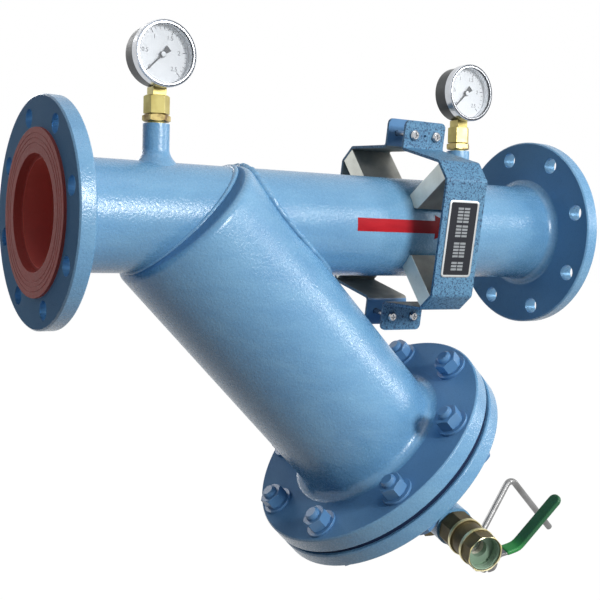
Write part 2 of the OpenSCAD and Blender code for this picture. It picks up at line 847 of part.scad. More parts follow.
// Screwed end with its own ring collar, octagon and threaded mouth
module valve_end() {
    color(brass) on_drain() difference() {
        union() {
            along_valve(valve_x1, valve_collar_r, valve_collar_t);
            translate([valve_x1 + valve_collar_t, 0, 0]) octagon(valve_end_length - valve_collar_t);
            difference() {
                along_valve(valve_x1 - valve_joint, seat_r + joint_wall, valve_joint + 1);
                along_valve(valve_x1 - valve_joint - 1, seat_r + slip_gap / 2, valve_joint + 1);
            }
        }
        along_valve(valve_x1 - valve_joint - 1, ball_port_r, big / 4);
        along_valve(valve_x2 - mouth_depth, thread_r, mouth_depth + 1);
        translate([valve_x2 - mouth_chamfer, 0, 0]) rotate([0, 90, 0])
            cylinder(r1 = thread_r, r2 = thread_r + mouth_chamfer, h = 1.5 * mouth_chamfer);
    }
}

// Two rings hollowed to the ball
module valve_seats() {
    color([0.92, 0.92, 0.9]) on_drain() difference() {
        union() {
            along_valve(seat_x0, seat_r - slip_gap / 2, seat_w);
            along_valve(valve_x1 - seat_w, seat_r - slip_gap / 2, seat_w);
        }
        along_valve(seat_x0 - 1, ball_port_r + seat_wall, big / 4);
        translate([ball_x, 0, 0]) sphere(r = ball_r + run_gap);
    }
}

// Closed at rest: the way through the ball lies across the valve
module valve_ball() {
    color(steel) on_drain() translate([ball_x, 0, 0]) difference() {
        sphere(r = ball_r);
        translate([0, ball_r + 1, 0]) rotate([90, 0, 0]) cylinder(r = ball_port_r, h = 2 * ball_r + 2);
        translate([-tang_w / 2, -ball_r, ball_r - tang_h]) cube([tang_w, 2 * ball_r, tang_w]);
    }
}

module valve_stem() {
    color(brass) on_drain() translate([ball_x, 0, 0]) {
        translate([0, 0, ball_r + 1]) cylinder(r = stem_r, h = stem_top - ball_r - 1);
        translate([-tang_w / 2 + slip_gap / 2, -stem_r + tang_w / 8, ball_r - tang_h + slip_gap])
            cube([tang_w - slip_gap, 2 * stem_r - tang_w / 4, tang_h + 1]);
    }
}

module stem_packing() {
    color([0.92, 0.92, 0.9]) on_drain() translate([ball_x, 0, stem_boss_z - packing_well])
        tube(stem_r + packing_ring - slip_gap / 2, stem_r + run_gap, packing_well - 1);
}

module stem_gland() {
    color(brass) on_drain() translate([ball_x, 0, 0]) difference() {
        union() {
            translate([0, 0, stem_boss_z]) hex(stem_gland_af, stem_gland_h);
            translate([0, 0, stem_boss_z - 1]) cylinder(r = stem_r + packing_ring - slip_gap, h = 2);
        }
        translate([0, 0, stem_boss_z - 2]) cylinder(r = stem_r + 2 * run_gap, h = big / 4);
    }
}

// Strip that follows the lever's side view
module along_lever(path, t, w) {
    rotate([90, 0, 90]) mirror([1, 0, 0]) bent_strip(path, lever_bend, t, w);
}

// Bent steel strip, rounded at the stem
module drain_lever() {
    color(steel) on_drain() translate([ball_x, 0, 0]) difference() {
        intersection() {
            along_lever(lever_path, lever_t, lever_w);
            union() {
                cylinder(r = lever_nose, h = big / 4);
                translate([-lever_w, -big / 4, 0]) cube([2 * lever_w, big / 4, big / 4]);
            }
        }
        translate([0, 0, lever_z - 1]) cylinder(r = stem_r + slip_gap / 5, h = lever_t + 2);
    }
}

// Plastic sleeve over the lever, round at its tip
module lever_sleeve() {
    tip_r = 0.55 * sleeve_w;
    color([0.12, 0.42, 0.24]) on_drain() translate([ball_x, 0, 0]) difference() {
        intersection() {
            along_lever(sleeve_path, sleeve_t, sleeve_w);
            union() {
                translate([0, -sleeve_tip + tip_r, 0]) cylinder(r = tip_r, h = big / 4);
                translate([-sleeve_w, -sleeve_tip + tip_r, 0]) cube([2 * sleeve_w, sleeve_tip, big / 4]);
            }
        }
        along_lever(lever_path, lever_t + slip_gap, lever_w + slip_gap);
    }
}

module lever_nut() {
    color(steel) on_drain() translate([ball_x, 0, lever_z + lever_t]) difference() {
        hex(lever_nut_af, lever_nut_h);
        translate([0, 0, -1]) cylinder(r = stem_r + run_gap / 5, h = lever_nut_h + 2);
    }
}

// Flared weld bosses that sit on the pipe
module gauge_bosses() {
    color(blue) for (x = [inlet_gauge_x, outlet_gauge_x]) difference() {
        translate([x, 0, 0]) rotate_extrude() difference() {
            union() {
                translate([0, pipe_r - boss_foot]) square([boss_r, boss_top - pipe_r + boss_foot]);
                polygon([
                    [0, pipe_r - boss_foot], [boss_foot_r, pipe_r - boss_foot],
                    [boss_skirt, pipe_r + boss_flare_rise], [boss_skirt, boss_flare_z], [0, boss_flare_z]
                ]);
            }
            translate([boss_r + boss_flare, boss_flare_z]) circle(r = boss_flare);
            translate([0, pipe_r - boss_foot - 1]) square([tap_r + run_gap, boss_top]);
        }
        on_run(0) cylinder(r = pipe_r, h = run_length);
    }
}

module gauge_locknuts() {
    color(brass) for (x = [inlet_gauge_x, outlet_gauge_x])
        translate([x, 0, boss_top + locknut_gap]) difference() {
        hex(locknut_af, locknut_h, true, true);
        translate([0, 0, -1]) cylinder(r = tap_r + run_gap, h = locknut_h + 2);
    }
}

module gauge_adapters() {
    color(brass) for (x = [inlet_gauge_x, outlet_gauge_x]) translate([x, 0, 0]) difference() {
        union() {
            translate([0, 0, boss_top - tap_depth])
                cylinder(r = tap_r, h = adapter_z0 - boss_top + tap_depth + 1);
            translate([0, 0, adapter_z0]) hex(adapter_af, adapter_z1 - adapter_z0);
        }
        translate([0, 0, boss_top - tap_depth - 1]) cylinder(r = tap_bore_r, h = big / 4);
        translate([0, 0, adapter_z1 - stem_engage - 1]) cylinder(r = stem_thread_r + run_gap, h = big / 4);
    }
}

// Curved pressure tubes inside the two gauges
module gauge_tubes() {
    color(brass) for (x = [inlet_gauge_x, outlet_gauge_x]) on_dial(x) {
        translate([-socket_w / 2, -case_r + gauge_spigot_h, -socket_t / 2])
            cube([socket_w, socket_w, socket_t]);
        rotate([0, 0, -90]) rotate_extrude(angle = 250)
            translate([tube_r, -tube_w / 2]) square([tube_t, tube_w]);
    }
}

// Threaded shank, square and spigot that carry the case
module gauge_stem(x) {
    color(brass) translate([x, 0, 0]) difference() {
        union() {
            translate([0, 0, adapter_z1 - stem_engage]) cylinder(r = stem_thread_r, h = stem_engage + 1);
            translate([-stem_square / 2, -stem_square / 2, adapter_z1])
                cube([stem_square, stem_square, dial_z - case_r - adapter_z1]);
            translate([0, 0, adapter_z1]) cylinder(r = gauge_spigot_r, h = spigot_top - adapter_z1);
        }
        translate([0, 0, adapter_z1 - stem_engage - 1])
            cylinder(r = stem_bore_r, h = spigot_top - adapter_z1 + stem_engage);
    }
}

// Open-fronted pan with a ledge for the dial
module gauge_case(x) {
    color([0.1, 0.1, 0.11]) on_dial(x) difference() {
        translate([0, 0, case_back]) cylinder(r = case_r, h = case_depth);
        translate([0, 0, case_back + case_wall]) cylinder(r = ledge_r, h = case_depth);
        translate([0, 0, ledge_z]) cylinder(r = case_bore_r, h = case_depth);
        translate([0, -case_r / 2, 0]) rotate([90, 0, 0])
            cylinder(r = gauge_spigot_r + slip_gap / 2, h = case_r);
    }
}

// Turned ring with a rolled front lip
module gauge_bezel(x) {
    lip_z = case_front + lens_t + slip_gap;
    seat_d = case_r + slip_gap / 2;
    color(steel) on_dial(x) rotate_extrude() difference() {
        union() {
            translate([seat_d, case_front - bezel_grip]) square([bezel_t, bezel_grip + lens_t + slip_gap]);
            translate([case_r - bezel_lip, lip_z]) square([bezel_lip + bezel_t - bezel_round, bezel_round]);
            translate([seat_d + bezel_t - bezel_round, lip_z]) circle(r = bezel_round);
        }
        translate([0, case_front - case_r]) square([seat_d, case_r + lens_t + slip_gap]);
    }
}

module gauge_lens(x) {
    color([0.85, 0.92, 0.95, 0.35]) on_dial(x) translate([0, 0, case_front])
        cylinder(r = case_r - slip_gap, h = lens_t);
}

module gauge_dial(x) {
    color([0.95, 0.95, 0.93]) on_dial(x) translate([0, 0, ledge_z]) difference() {
        cylinder(r = dial_r, h = dial_t);
        translate([0, 0, -1]) cylinder(r = arbor_r + run_gap, h = dial_t + 2);
    }
}

// Pointer at zero with its tail, hub and arbor
module gauge_pointer(x) {
    z = ledge_z + pointer_rise;
    color([0.06, 0.06, 0.06]) on_dial(x) rotate([0, 0, 135]) {
        translate([0, 0, z]) linear_extrude(pointer_t) polygon([
            [-pointer_tip_w / 2, pointer_tip], [pointer_tip_w / 2, pointer_tip], [pointer_root_w / 2, 0],
            [pointer_tail_w / 2, -pointer_tail], [-pointer_tail_w / 2, -pointer_tail],
            [-pointer_root_w / 2, 0]
        ]);
        translate([0, 0, z - pointer_t]) cylinder(r = pointer_hub_r, h = pointer_hub_h);
        translate([0, 0, ledge_z - arbor_back]) cylinder(r = arbor_r, h = z - ledge_z + arbor_back);
    }
}

module inlet_gauge_stem() { gauge_stem(inlet_gauge_x); }
module inlet_gauge_case() { gauge_case(inlet_gauge_x); }
module inlet_gauge_bezel() { gauge_bezel(inlet_gauge_x); }
module inlet_gauge_lens() { gauge_lens(inlet_gauge_x); }
module inlet_gauge_dial() { gauge_dial(inlet_gauge_x); }
module inlet_gauge_pointer() { gauge_pointer(inlet_gauge_x); }
module outlet_gauge_stem() { gauge_stem(outlet_gauge_x); }
module outlet_gauge_case() { gauge_case(outlet_gauge_x); }
module outlet_gauge_bezel() { gauge_bezel(outlet_gauge_x); }
module outlet_gauge_lens() { gauge_lens(outlet_gauge_x); }
module outlet_gauge_dial() { gauge_dial(outlet_gauge_x); }
module outlet_gauge_pointer() { gauge_pointer(outlet_gauge_x); }

// Repeats its children at the four collar screws, with Z from the front ear to the rear ear
module on_collar_screws() {
    for (x = [-1, 1]) for (z = [-1, 1])
        translate([x * screw_pitch / 2, 0, z * ear_mid_z]) rotate([-90, 0, 0]) children();
}

// Half of the collar: one strip bent to an ear, a roof, a bevel, a face and back again
module collar_half_shell() {
    difference() {
        rotate([90, 0, 90]) bent_strip(collar_half, strip_bend, strip_t, strip_w);
        on_collar_screws() translate([0, 0, -big / 4]) cylinder(r = screw_r + screw_clear, h = big / 2);
        for (s = [-1, 1]) translate([0, 0, s * ear_mid_z]) rotate([90, 0, 0])
            cylinder(r = ear_hole_r, h = 2 * ear_y);
        for (i = [0, 1]) for (j = [0, 1]) mirror([i, 0, 0]) mirror([0, 0, j])
            translate([strip_w / 2, 0, ear_z]) rotate([90, 0, 0]) linear_extrude(2 * ear_y)
                corner_waste(ear_round);
    }
}

module collar_front_half() {
    color([0.5, 0.65, 0.76]) on_collar() collar_half_shell();
}

module collar_rear_half() {
    color([0.5, 0.65, 0.76]) on_collar() mirror([0, 1, 0]) collar_half_shell();
}

// Blocks that stand on the bevels and reach to the pipe
module collar_blocks() {
    mid = [(roof_y + collar_y) / 2, (roof_z + collar_face_z) / 2];
    lean = atan2(bevel[0], bevel[1]);
    color([0.78, 0.8, 0.8]) difference() {
        on_collar() for (y = [0, 1]) for (z = [0, 1]) mirror([0, y, 0]) mirror([0, 0, z])
            translate([0, -mid[0], mid[1]]) rotate([-lean, 0, 0])
                translate([-strip_w / 2, strip_t / 2, -block_w / 2]) cube([strip_w, block_len, block_w]);
        on_run(0) cylinder(r = pipe_r + slip_gap, h = run_length);
        on_collar() translate([-big / 2, -block_clear_y, -big / 2]) cube([big, 2 * block_clear_y, big]);
        on_collar() translate([-big / 2, -big / 2, -block_clear_z]) cube([big, big, 2 * block_clear_z]);
    }
}

// Pan-head screws with a cross recess
module collar_screws() {
    seat = -ear_y - strip_t / 2;
    crown = seat - screw_rim - screw_crown;
    color(steel) on_collar() on_collar_screws() difference() {
        union() {
            translate([0, 0, seat]) cylinder(r = screw_r, h = 2 * ear_y + strip_t + screw_proud);
            translate([0, 0, seat - screw_rim]) cylinder(r = screw_head_r, h = screw_rim);
            translate([0, 0, crown]) cylinder(r1 = screw_crown_r, r2 = screw_head_r, h = screw_crown);
        }
        for (a = [0, 90]) rotate([0, 0, a]) translate([-recess_l / 2, -recess_w / 2, crown - 1])
            cube([recess_l, recess_w, recess_depth + 1]);
    }
}

module collar_nuts() {
    color(steel) on_collar() on_collar_screws() translate([0, 0, ear_y + strip_t / 2]) difference() {
        hex(collar_nut_af, collar_nut_h);
        translate([0, 0, -1]) cylinder(r = screw_r + run_gap, h = collar_nut_h + 2);
    }
}

module collar_plate() {
    color([0.15, 0.15, 0.16]) on_collar() translate([0, -collar_y - strip_t / 2, 0]) rotate([90, 0, 0])
        linear_extrude(plate_t) round_rect(plate_w, plate_h, plate_round);
}

inlet_pipe();
outlet_pipe();
filter_barrel();
barrel_end_plate();
inlet_flange();
outlet_flange();
barrel_flange();
weld_beads();
cover_gasket();
cover_plate();
cover_bolts();
cover_nuts();
cover_washers();
screen_cage();
screen_mesh();
screen_rings();
pilot_spider();
brush_holder();
brush_strips();
crank_rod();
drain_chamber();
gland_housing();
gland_packing();
gland_nut();
drain_branch();
drain_nipple();
valve_body();
valve_end();
valve_seats();
valve_ball();
valve_stem();
stem_packing();
stem_gland();
drain_lever();
lever_sleeve();
lever_nut();
gauge_bosses();
gauge_locknuts();
gauge_adapters();
gauge_tubes();
inlet_gauge_stem();
inlet_gauge_case();
inlet_gauge_bezel();
inlet_gauge_lens();
inlet_gauge_dial();
inlet_gauge_pointer();
outlet_gauge_stem();
outlet_gauge_case();
outlet_gauge_bezel();
outlet_gauge_lens();
outlet_gauge_dial();
outlet_gauge_pointer();
collar_front_half();
collar_rear_half();
collar_blocks();
collar_screws();
collar_nuts();
collar_plate();
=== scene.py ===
import json
import math

import bmesh
import bpy
from mathutils import Matrix, Vector


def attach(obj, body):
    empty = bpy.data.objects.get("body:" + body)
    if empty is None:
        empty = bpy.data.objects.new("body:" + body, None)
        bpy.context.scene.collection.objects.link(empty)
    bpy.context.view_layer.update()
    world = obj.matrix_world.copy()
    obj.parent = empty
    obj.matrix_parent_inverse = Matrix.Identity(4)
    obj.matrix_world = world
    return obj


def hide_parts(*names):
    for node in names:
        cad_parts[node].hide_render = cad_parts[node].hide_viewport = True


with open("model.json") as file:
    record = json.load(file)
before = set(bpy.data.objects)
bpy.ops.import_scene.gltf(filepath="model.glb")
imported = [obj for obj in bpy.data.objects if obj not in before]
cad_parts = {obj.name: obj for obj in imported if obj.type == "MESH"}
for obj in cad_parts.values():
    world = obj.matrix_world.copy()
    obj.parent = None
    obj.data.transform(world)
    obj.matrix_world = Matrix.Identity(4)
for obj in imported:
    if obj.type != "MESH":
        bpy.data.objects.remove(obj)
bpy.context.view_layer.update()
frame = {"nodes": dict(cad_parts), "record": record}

# ------------------------------------------------------------------ places
# Metres in the frame's axes: x runs along the pipe from the inlet flange's face, and z is up.
ALONG_RUN = Vector((1.0, 0.0, 0.0))
RUN_END = 0.618
PIPE_R = 0.054
PIPE_BORE_R = 0.050
PIPE_END_DEEP = 0.01175
FACE_R = 0.0775
FLANGE_THICK = 0.016
BOLT_HOLES_R = (0.08, 0.10)
BARE_FACE_X = -0.001  # only the inlet's raised face lies before this

# Radii about the run inside which the primer is left bare, or is painted lighter as painted light: on the
# pipe's end step, and lighter still in the bore.
PRIMER_FACE_R = FACE_R + 0.00035
PRIMER_MOUTH_R = PIPE_R + 0.00075
PRIMER_STEP_R = PIPE_R + 0.0003
PRIMER_BORE_R = PIPE_BORE_R + 0.00075
BORE_PAINTED_LIGHT_R = PIPE_BORE_R + 0.0006

BARREL_R = 0.0825
CROSSING = Vector((0.147, 0.0, 0.0))
DOWN_BARREL = Vector((1.0, 0.0, -1.0)).normalized()
BARREL_FLANGE_BACK = CROSSING + DOWN_BARREL * 0.326
COVER_OUTSIDE = CROSSING + DOWN_BARREL * 0.370
CHAMBER_R = 0.030

VALVE_FOOT = CROSSING + DOWN_BARREL * 0.407
DRAIN_ROLL = math.radians(16)
ALONG_VALVE = Vector((-math.sin(DRAIN_ROLL) * math.sqrt(0.5), -math.cos(DRAIN_ROLL),
                      -math.sin(DRAIN_ROLL) * math.sqrt(0.5)))
ACROSS_VALVE = DOWN_BARREL.cross(ALONG_VALVE)
VALVE_PLACE = Matrix.Translation(VALVE_FOOT) @ Matrix(
    (ALONG_VALVE, ACROSS_VALVE, DOWN_BARREL)).transposed().to_4x4()
VALVE_BALL = 0.148
VALVE_RINGS = ((0.1404, 0.1441), (0.1629, 0.1666))
VALVE_RING_R = 0.0189
VALVE_FRONT, VALVE_FRONT_R = 0.1812, 0.0190
MOUTH_R, MOUTH_BACK = 0.0169, 0.1505
THREAD_START, THREAD_R, THREAD_DEEP = 0.1695, 0.01672, 0.00132
THREAD_PITCH, THREAD_TURNS = 0.00231, 4

SLEEVE_ALONG = (0.020, 0.033, 0.101)
SLEEVE_BEND_Z, SLEEVE_BEND_SOFT = 0.0495, 0.004
SLEEVE_RISE, SLEEVE_FALL = 11 / 19, 8.6 / 63
SLEEVE_WIDE, SLEEVE_THICK = 0.016, 0.005
SLEEVE_TIP_ROUND, SLEEVE_RIM_ROUND = 0.45 * SLEEVE_WIDE, 0.4 * SLEEVE_THICK
SLEEVE_CUTS, SLEEVE_CUT_APART = 9, 0.0016
SLEEVE_LIGHT_TO = 0.040

COLLAR_PLACE = Matrix.Translation((0.4245, 0.0, 0.0025)) @ Matrix.Rotation(math.radians(9), 4, "X")
EAR_FOOT = 0.0865
EAR_INSIDE, STRIP_INSIDE = -0.005, -0.01
PLATE_FRONT, PLATE_RIM = -0.0965, 0.002
PLATE_STEP_WIDE, PLATE_STEP_DEEP = 0.0003, 0.0002
CELL_BLOCKS = ((0.0251, 5), (0.0083, 4), (-0.0115, 5), (-0.0288, 3))
CELL_WIDE, CELL_HIGH, CELL_LINE = 0.0085, 0.0034, 0.0012
CELL_SUNK, CELL_THICK = 0.00016, 0.0001

# Start, end, half width as an angle about the pipe, and whether the band comes to a point.
ARROW_BANDS = ((0.3216, 0.4250, math.radians(7.3), False), (0.4245, 0.4580, math.radians(14.0), True))
ARROW_LIFT = 0.00012
ARROW_SHADE = (0.355, 0.425)

GAUGES = {"inlet": 0.1185, "outlet": 0.5}
GAUGE_REACH = 0.1
UPRIGHT = Matrix.Rotation(math.radians(90), 4, "X")
HEXAGON_TURN = math.radians(-19.4)
DIAL_Z, DIAL_FRONT = 0.155, -0.010
CASE_WHITE_BACK = DIAL_FRONT + 0.001
DIAL_SWEEP = math.radians(270)
DIAL_STEPS, DIAL_MAJOR = 25, 5
TICKS_R, MAJOR_TICK, MINOR_TICK = 0.0262, (0.0042, 0.00075), (0.0024, 0.0004)
NUMBERS_R, NUMBER_HIGH, NUMBER_THICK = 0.0180, 0.0058, 0.00004
INK_LIFT, INK_THICK = 0.00006, 0.0001
CAP_BACK_R, CAP_FRONT_R, CAP_THICK, CAP_Y = 0.0026, 0.0022, 0.0006, -0.0138
# The bezel's front and back depth, its lip radius and its groove, which place its painted shadow and painted
# reflections.
BEZEL_FRONT, BEZEL_BACK_DEEP = -0.0207, 0.0090
BEZEL_LIP_R = 0.028 + 0.00055
BEZEL_GROOVE_R, BEZEL_GROOVE_DEEP = (0.02965, 0.03115), 0.0022

# How far the edges of the pieces are broken.
UNBROKEN = 0.0
POINTER_EDGE = 0.0001
CAP_EDGE = 0.0002
TURNED_EDGE = 0.0003
BOLT_EDGE = 0.0004
PRESSED_EDGE = 0.0005
PLATE_EDGE = 0.0006
BLOCK_EDGE = 0.0008
SHARP_ANGLE, SQUARE_ANGLE = math.radians(35), math.radians(60)
FLAT_ANGLE = math.radians(0.6)
MERGE, FINE_MERGE, THREAD_MERGE = 2e-6, 1e-6, 2e-5
STRAIGHT_ON, HALF_ON, EDGE_ON = 0.9, 0.5, 0.1  # shares of a face's normal that choose its finish

# Waves of a weld laid by hand: how many go round the pipe, their size and their shift.
FILLET_WAVES = ((23, 1.0, 0.0), (37, 1.0, 1.3), (61, 0.7, 0.0))
RIDGE_WAVES = ((67, 1.0, 0.0), (41, 0.6, 1.0), (19, 0.5, 0.0))
FILLET_SWELL, RIDGE_SWELL = 0.05, 60.0
FLANGE_LEG, BARREL_LEG, CHAMBER_LEG = 0.009, 0.010, 0.006

# Weld runs on the pipe's joints: how deep in its wall they lie, their radius, wobble and shift.
END_PLATE_RUN = (0.0012, 0.0036, 0.0001, -0.0006)
SADDLE_RUN = (0.0010, 0.0050, 0.0006, 0.0004)

# The stage, its lamps as place, size and power, and the camera.
STAGE_MIDDLE = Vector((0.3, 0.0, -0.1))
FLOOR_Z, FLOOR_HALF = -0.42, 12.0
FLOOR_GREY, FLOOR_GLOW, FLOOR_GLOW_SHARE = (0.15, 0.15, 0.15, 1.0), 1.13, 0.88
WHITE = (1.0, 1.0, 1.0, 1.0)
SKY_TINT, SKY_LEVEL = (0.6, 0.8, 1.0, 1.0), 0.16
LAMPS = {
    "key": ((0.66, -1.85, 0.52), (0.45, 0.45), 31.0),
    "top": ((0.2, -0.75, 1.85), (1.4, 0.7), 6.0),
    "side": ((1.55, -1.5, 0.6), (0.3, 0.3), 5.0),
    "edge": ((2.08, -0.84, 0.32), (0.3, 0.3), 7.0),
    "back": ((0.2, 2.0, 0.7), (1.0, 0.6), 9.0),
}
CAMERA_PLACE = Vector((-0.33917, -0.96619, -0.02929))
CAMERA_RIGHT = Vector((0.83911, -0.54347, 0.02306))
CAMERA_UP = Vector((0.00477, 0.04973, 0.99875))
FOCAL_PIXELS, PHOTO_PIXELS, SENSOR_MM = 1094.19, 600.0, 36.0


# --------------------------------------------------------------- materials
PAINT_BLUR = 0.0004
MIX_FACTOR, MIX_FIRST, MIX_SECOND, MIX_RESULT = 0, 6, 7, 2  # a Mix node's sockets for colours


class Wire:
    """A socket that sums, products and the greater of two can be written with."""

    def __init__(self, nodes, socket):
        self.nodes = nodes
        self.socket = socket

    def math(self, operation, *terms):
        return self.nodes.node("ShaderNodeMath", {"operation": operation}, dict(enumerate(terms)))

    def __add__(self, other):
        return self.math("ADD", self, other)

    def __radd__(self, other):
        return self.math("ADD", other, self)

    def __sub__(self, other):
        return self.math("SUBTRACT", self, other)

    def __rsub__(self, other):
        return self.math("SUBTRACT", other, self)

    def __mul__(self, other):
        return self.math("MULTIPLY", self, other)

    def __rmul__(self, other):
        return self.math("MULTIPLY", other, self)

    def __or__(self, other):
        return self.math("MAXIMUM", self, other)


class Nodes:
    """A node tree that is filled by expressions."""

    def __init__(self, tree):
        self.tree = tree
        tree.nodes.clear()

    def feed(self, socket, value):
        if isinstance(value, Wire):
            self.tree.links.new(value.socket, socket)
        else:
            socket.default_value = value

    def node(self, kind, settings=None, sockets=None, output=0):
        """Adds a node: first its settings, then the values or links of its sockets."""
        made = self.tree.nodes.new(kind)
        for key, value in (settings or {}).items():
            setattr(made, key, value)
        for key, value in (sockets or {}).items():
            self.feed(made.inputs[key], value)
        return Wire(self, made.outputs[output]) if made.outputs else None


class Finish(Nodes):
    """A material with one Principled shader, read in object coordinates."""

    def __init__(self, name, **fixed):
        self.material = bpy.data.materials.new(name)
        self.material.use_nodes = True
        super().__init__(self.material.node_tree)
        shader = self.node("ShaderNodeBsdfPrincipled")
        self.inputs = shader.socket.node.inputs
        self.node("ShaderNodeOutputMaterial", None, {"Surface": shader})
        self.set(**fixed)
        self.place = self.node("ShaderNodeTexCoord", output="Object")

    def set(self, **sockets):
        for name, value in sockets.items():
            self.feed(self.inputs[name.replace("_", " ")], value)
        return self

    def noise(self, scale, detail=2.0, roughness=0.5, where=None, distortion=0.0):
        return self.node("ShaderNodeTexNoise", None, {
            "Vector": where or self.place, "Scale": scale, "Detail": detail,
            "Roughness": roughness, "Distortion": distortion})

    def ramp(self, value, low, high):
        """Goes softly from 0 at one value to 1 at the other."""
        return self.node("ShaderNodeMapRange", {"interpolation_type": "SMOOTHSTEP"}, {
            "Value": value, "From Min": low, "From Max": high})

    def above(self, value, limit, blur=PAINT_BLUR):
        return self.ramp(value, limit - blur / 2, limit + blur / 2)

    def below(self, value, limit, blur=PAINT_BLUR):
        return self.ramp(value, limit + blur / 2, limit - blur / 2)

    def between(self, value, low, high, blur=PAINT_BLUR):
        return self.above(value, low, blur) * self.below(value, high, blur)

    def mix(self, factor, first, second):
        return self.node("ShaderNodeMix", {"data_type": "RGBA"}, {
            MIX_FACTOR: factor, MIX_FIRST: first, MIX_SECOND: second}, MIX_RESULT)

    def stretched(self, turn, scale):
        return self.node("ShaderNodeMapping", None, {
            "Vector": self.place, "Rotation": turn, "Scale": scale})

    def along(self, way, start=(0.0, 0.0, 0.0)):
        """How far a point lies along a way from a start."""
        way = Vector(way)
        reach = self.node("ShaderNodeVectorMath", {"operation": "DOT_PRODUCT"}, {
            0: self.place, 1: way}, "Value")
        return reach - way.dot(Vector(start))

    def around(self, way, start=(0.0, 0.0, 0.0)):
        """How far a point lies from the axis through a start."""
        from_start = self.node("ShaderNodeVectorMath", {"operation": "SUBTRACT"}, {
            0: self.place, 1: start})
        turned = self.node("ShaderNodeVectorMath", {"operation": "CROSS_PRODUCT"}, {0: from_start, 1: way})
        return self.node("ShaderNodeVectorMath", {"operation": "LENGTH"}, {0: turned}, "Value")

    def bumped(self, height, distance, strength):
        bump = self.node("ShaderNodeBump", None, {
            "Height": height, "Distance": distance, "Strength": strength})
        return self.set(Normal=bump)


def rgb(red, green, blue):
    """A colour as a screen shows it, for a socket that takes linear light."""
    def linear(value):
        value /= 255
        return value / 12.92 if value <= 0.04045 else ((value + 0.055) / 1.055) ** 2.4

    return (linear(red), linear(green), linear(blue), 1.0)


def speckled(name, scale, detail, first, second, rough, vary, **fixed):
    """A plain finish whose tint and gloss follow one noise."""
    f = Finish(name, **fixed)
    speck = f.noise(scale, detail)
    return f.set(Base_Color=f.mix(speck, first, second), Roughness=rough + vary * speck)


def blue_enamel():
    """Sprayed enamel, with the primer left bare in the bore and on the mating faces, and painted lighter on
    the pipe's end step and in the bore as painted light.
    """
    f = Finish("blue_enamel", Specular_IOR_Level=0.55)
    peel = f.noise(400.0, 2.0, 0.6)
    drift = f.noise(8.0, 3.0)
    streak = f.noise(60.0, 4.0, 0.6, f.stretched((0.0, math.radians(45), 0.0), (0.25, 1.0, 1.0)))
    speck = f.ramp(f.noise(900.0, 2.0), 0.58, 0.72)
    coat = f.mix(f.ramp(drift, 0.3, 0.7), rgb(100, 151, 191), rgb(113, 164, 201))
    coat = f.mix(0.35 * f.ramp(streak, 0.35, 0.75), coat, rgb(135, 183, 213))
    coat = f.mix(0.35 * speck, coat, rgb(58, 100, 150))

    reach = f.along(ALONG_RUN)
    rim = f.around(ALONG_RUN)
    ends = f.below(reach, 0.0) | f.above(reach, RUN_END)
    mouth = f.below(rim, PRIMER_MOUTH_R, blur=0.0001) * f.below(reach, PIPE_END_DEEP, blur=0.0005)
    bore = f.below(rim, PRIMER_BORE_R, blur=0.0005)
    primer = mouth | bore | f.below(rim, PRIMER_FACE_R, blur=0.0005) * ends
    primer_and_light = f.mix(f.ramp(f.noise(26.0, 4.0, 0.6), 0.35, 0.7), rgb(140, 50, 44), rgb(156, 58, 51))
    primer_and_light = f.mix(f.ramp(f.noise(160.0, 3.0), 0.6, 0.75) * 0.4, primer_and_light, rgb(118, 42, 38))
    # Painted light: the primer is lighter on the pipe's end step and much lighter in the bore, which both lie
    # in shade.
    primer_and_light = f.mix(f.below(rim, PRIMER_STEP_R, blur=0.0002), primer_and_light, rgb(172, 66, 58))
    primer_and_light = f.mix(f.below(rim, BORE_PAINTED_LIGHT_R), primer_and_light, rgb(244, 116, 104))

    shine = 0.2 + 0.12 * f.ramp(peel, 0.3, 0.7) + 0.06 * speck
    f.set(Base_Color=f.mix(primer, coat, primer_and_light), Roughness=shine + primer * 0.35)
    return f.bumped(peel + 0.2 * f.noise(1300.0, 2.0), 0.00042, 0.9)


def shaded_matt_enamel():
    """The same enamel, a little darker and dull, as painted shade on the flanges' faces that look away from
    the lamps.
    """
    f = Finish("shaded_matt_blue_enamel", Specular_IOR_Level=0.08)
    fine = f.noise(700.0, 3.0, 0.6)
    drift = f.noise(10.0, 3.0)
    coat = f.mix(f.ramp(drift, 0.3, 0.7), rgb(102, 146, 187), rgb(114, 158, 197))
    f.set(Base_Color=f.mix(0.3 * f.ramp(fine, 0.5, 0.7), coat, rgb(80, 118, 158)),
          Roughness=0.5 + 0.2 * fine)
    return f.bumped(fine, 0.0003, 0.5)


def hole_light_enamel():
    """Lighter, glossier enamel on the walls of the bolt holes, as painted light."""
    return speckled("hole_light_enamel", 120.0, 3.0, rgb(104, 158, 200), rgb(124, 176, 212), 0.22, 0.14,
                    Metallic=0.45)


def hammertone():
    """Blotched hammer finish of the collar."""
    f = Finish("hammertone_blue", Specular_IOR_Level=0.35)
    blot = f.noise(520.0, 2.0, 0.55, distortion=0.6)
    fine = f.noise(1000.0, 2.0)
    base = f.mix(f.ramp(f.noise(18.0, 2.0), 0.3, 0.7), rgb(80, 126, 160), rgb(90, 136, 168))
    base = f.mix(f.ramp(blot, 0.48, 0.38) * 0.6, base, rgb(108, 154, 184))
    base = f.mix(f.ramp(blot + 0.3 * (fine - 0.5), 0.54, 0.6) * 0.85, base, rgb(38, 62, 92))
    f.set(Base_Color=base, Roughness=0.42 + 0.18 * blot)
    return f.bumped(blot, 0.0003, 0.5)


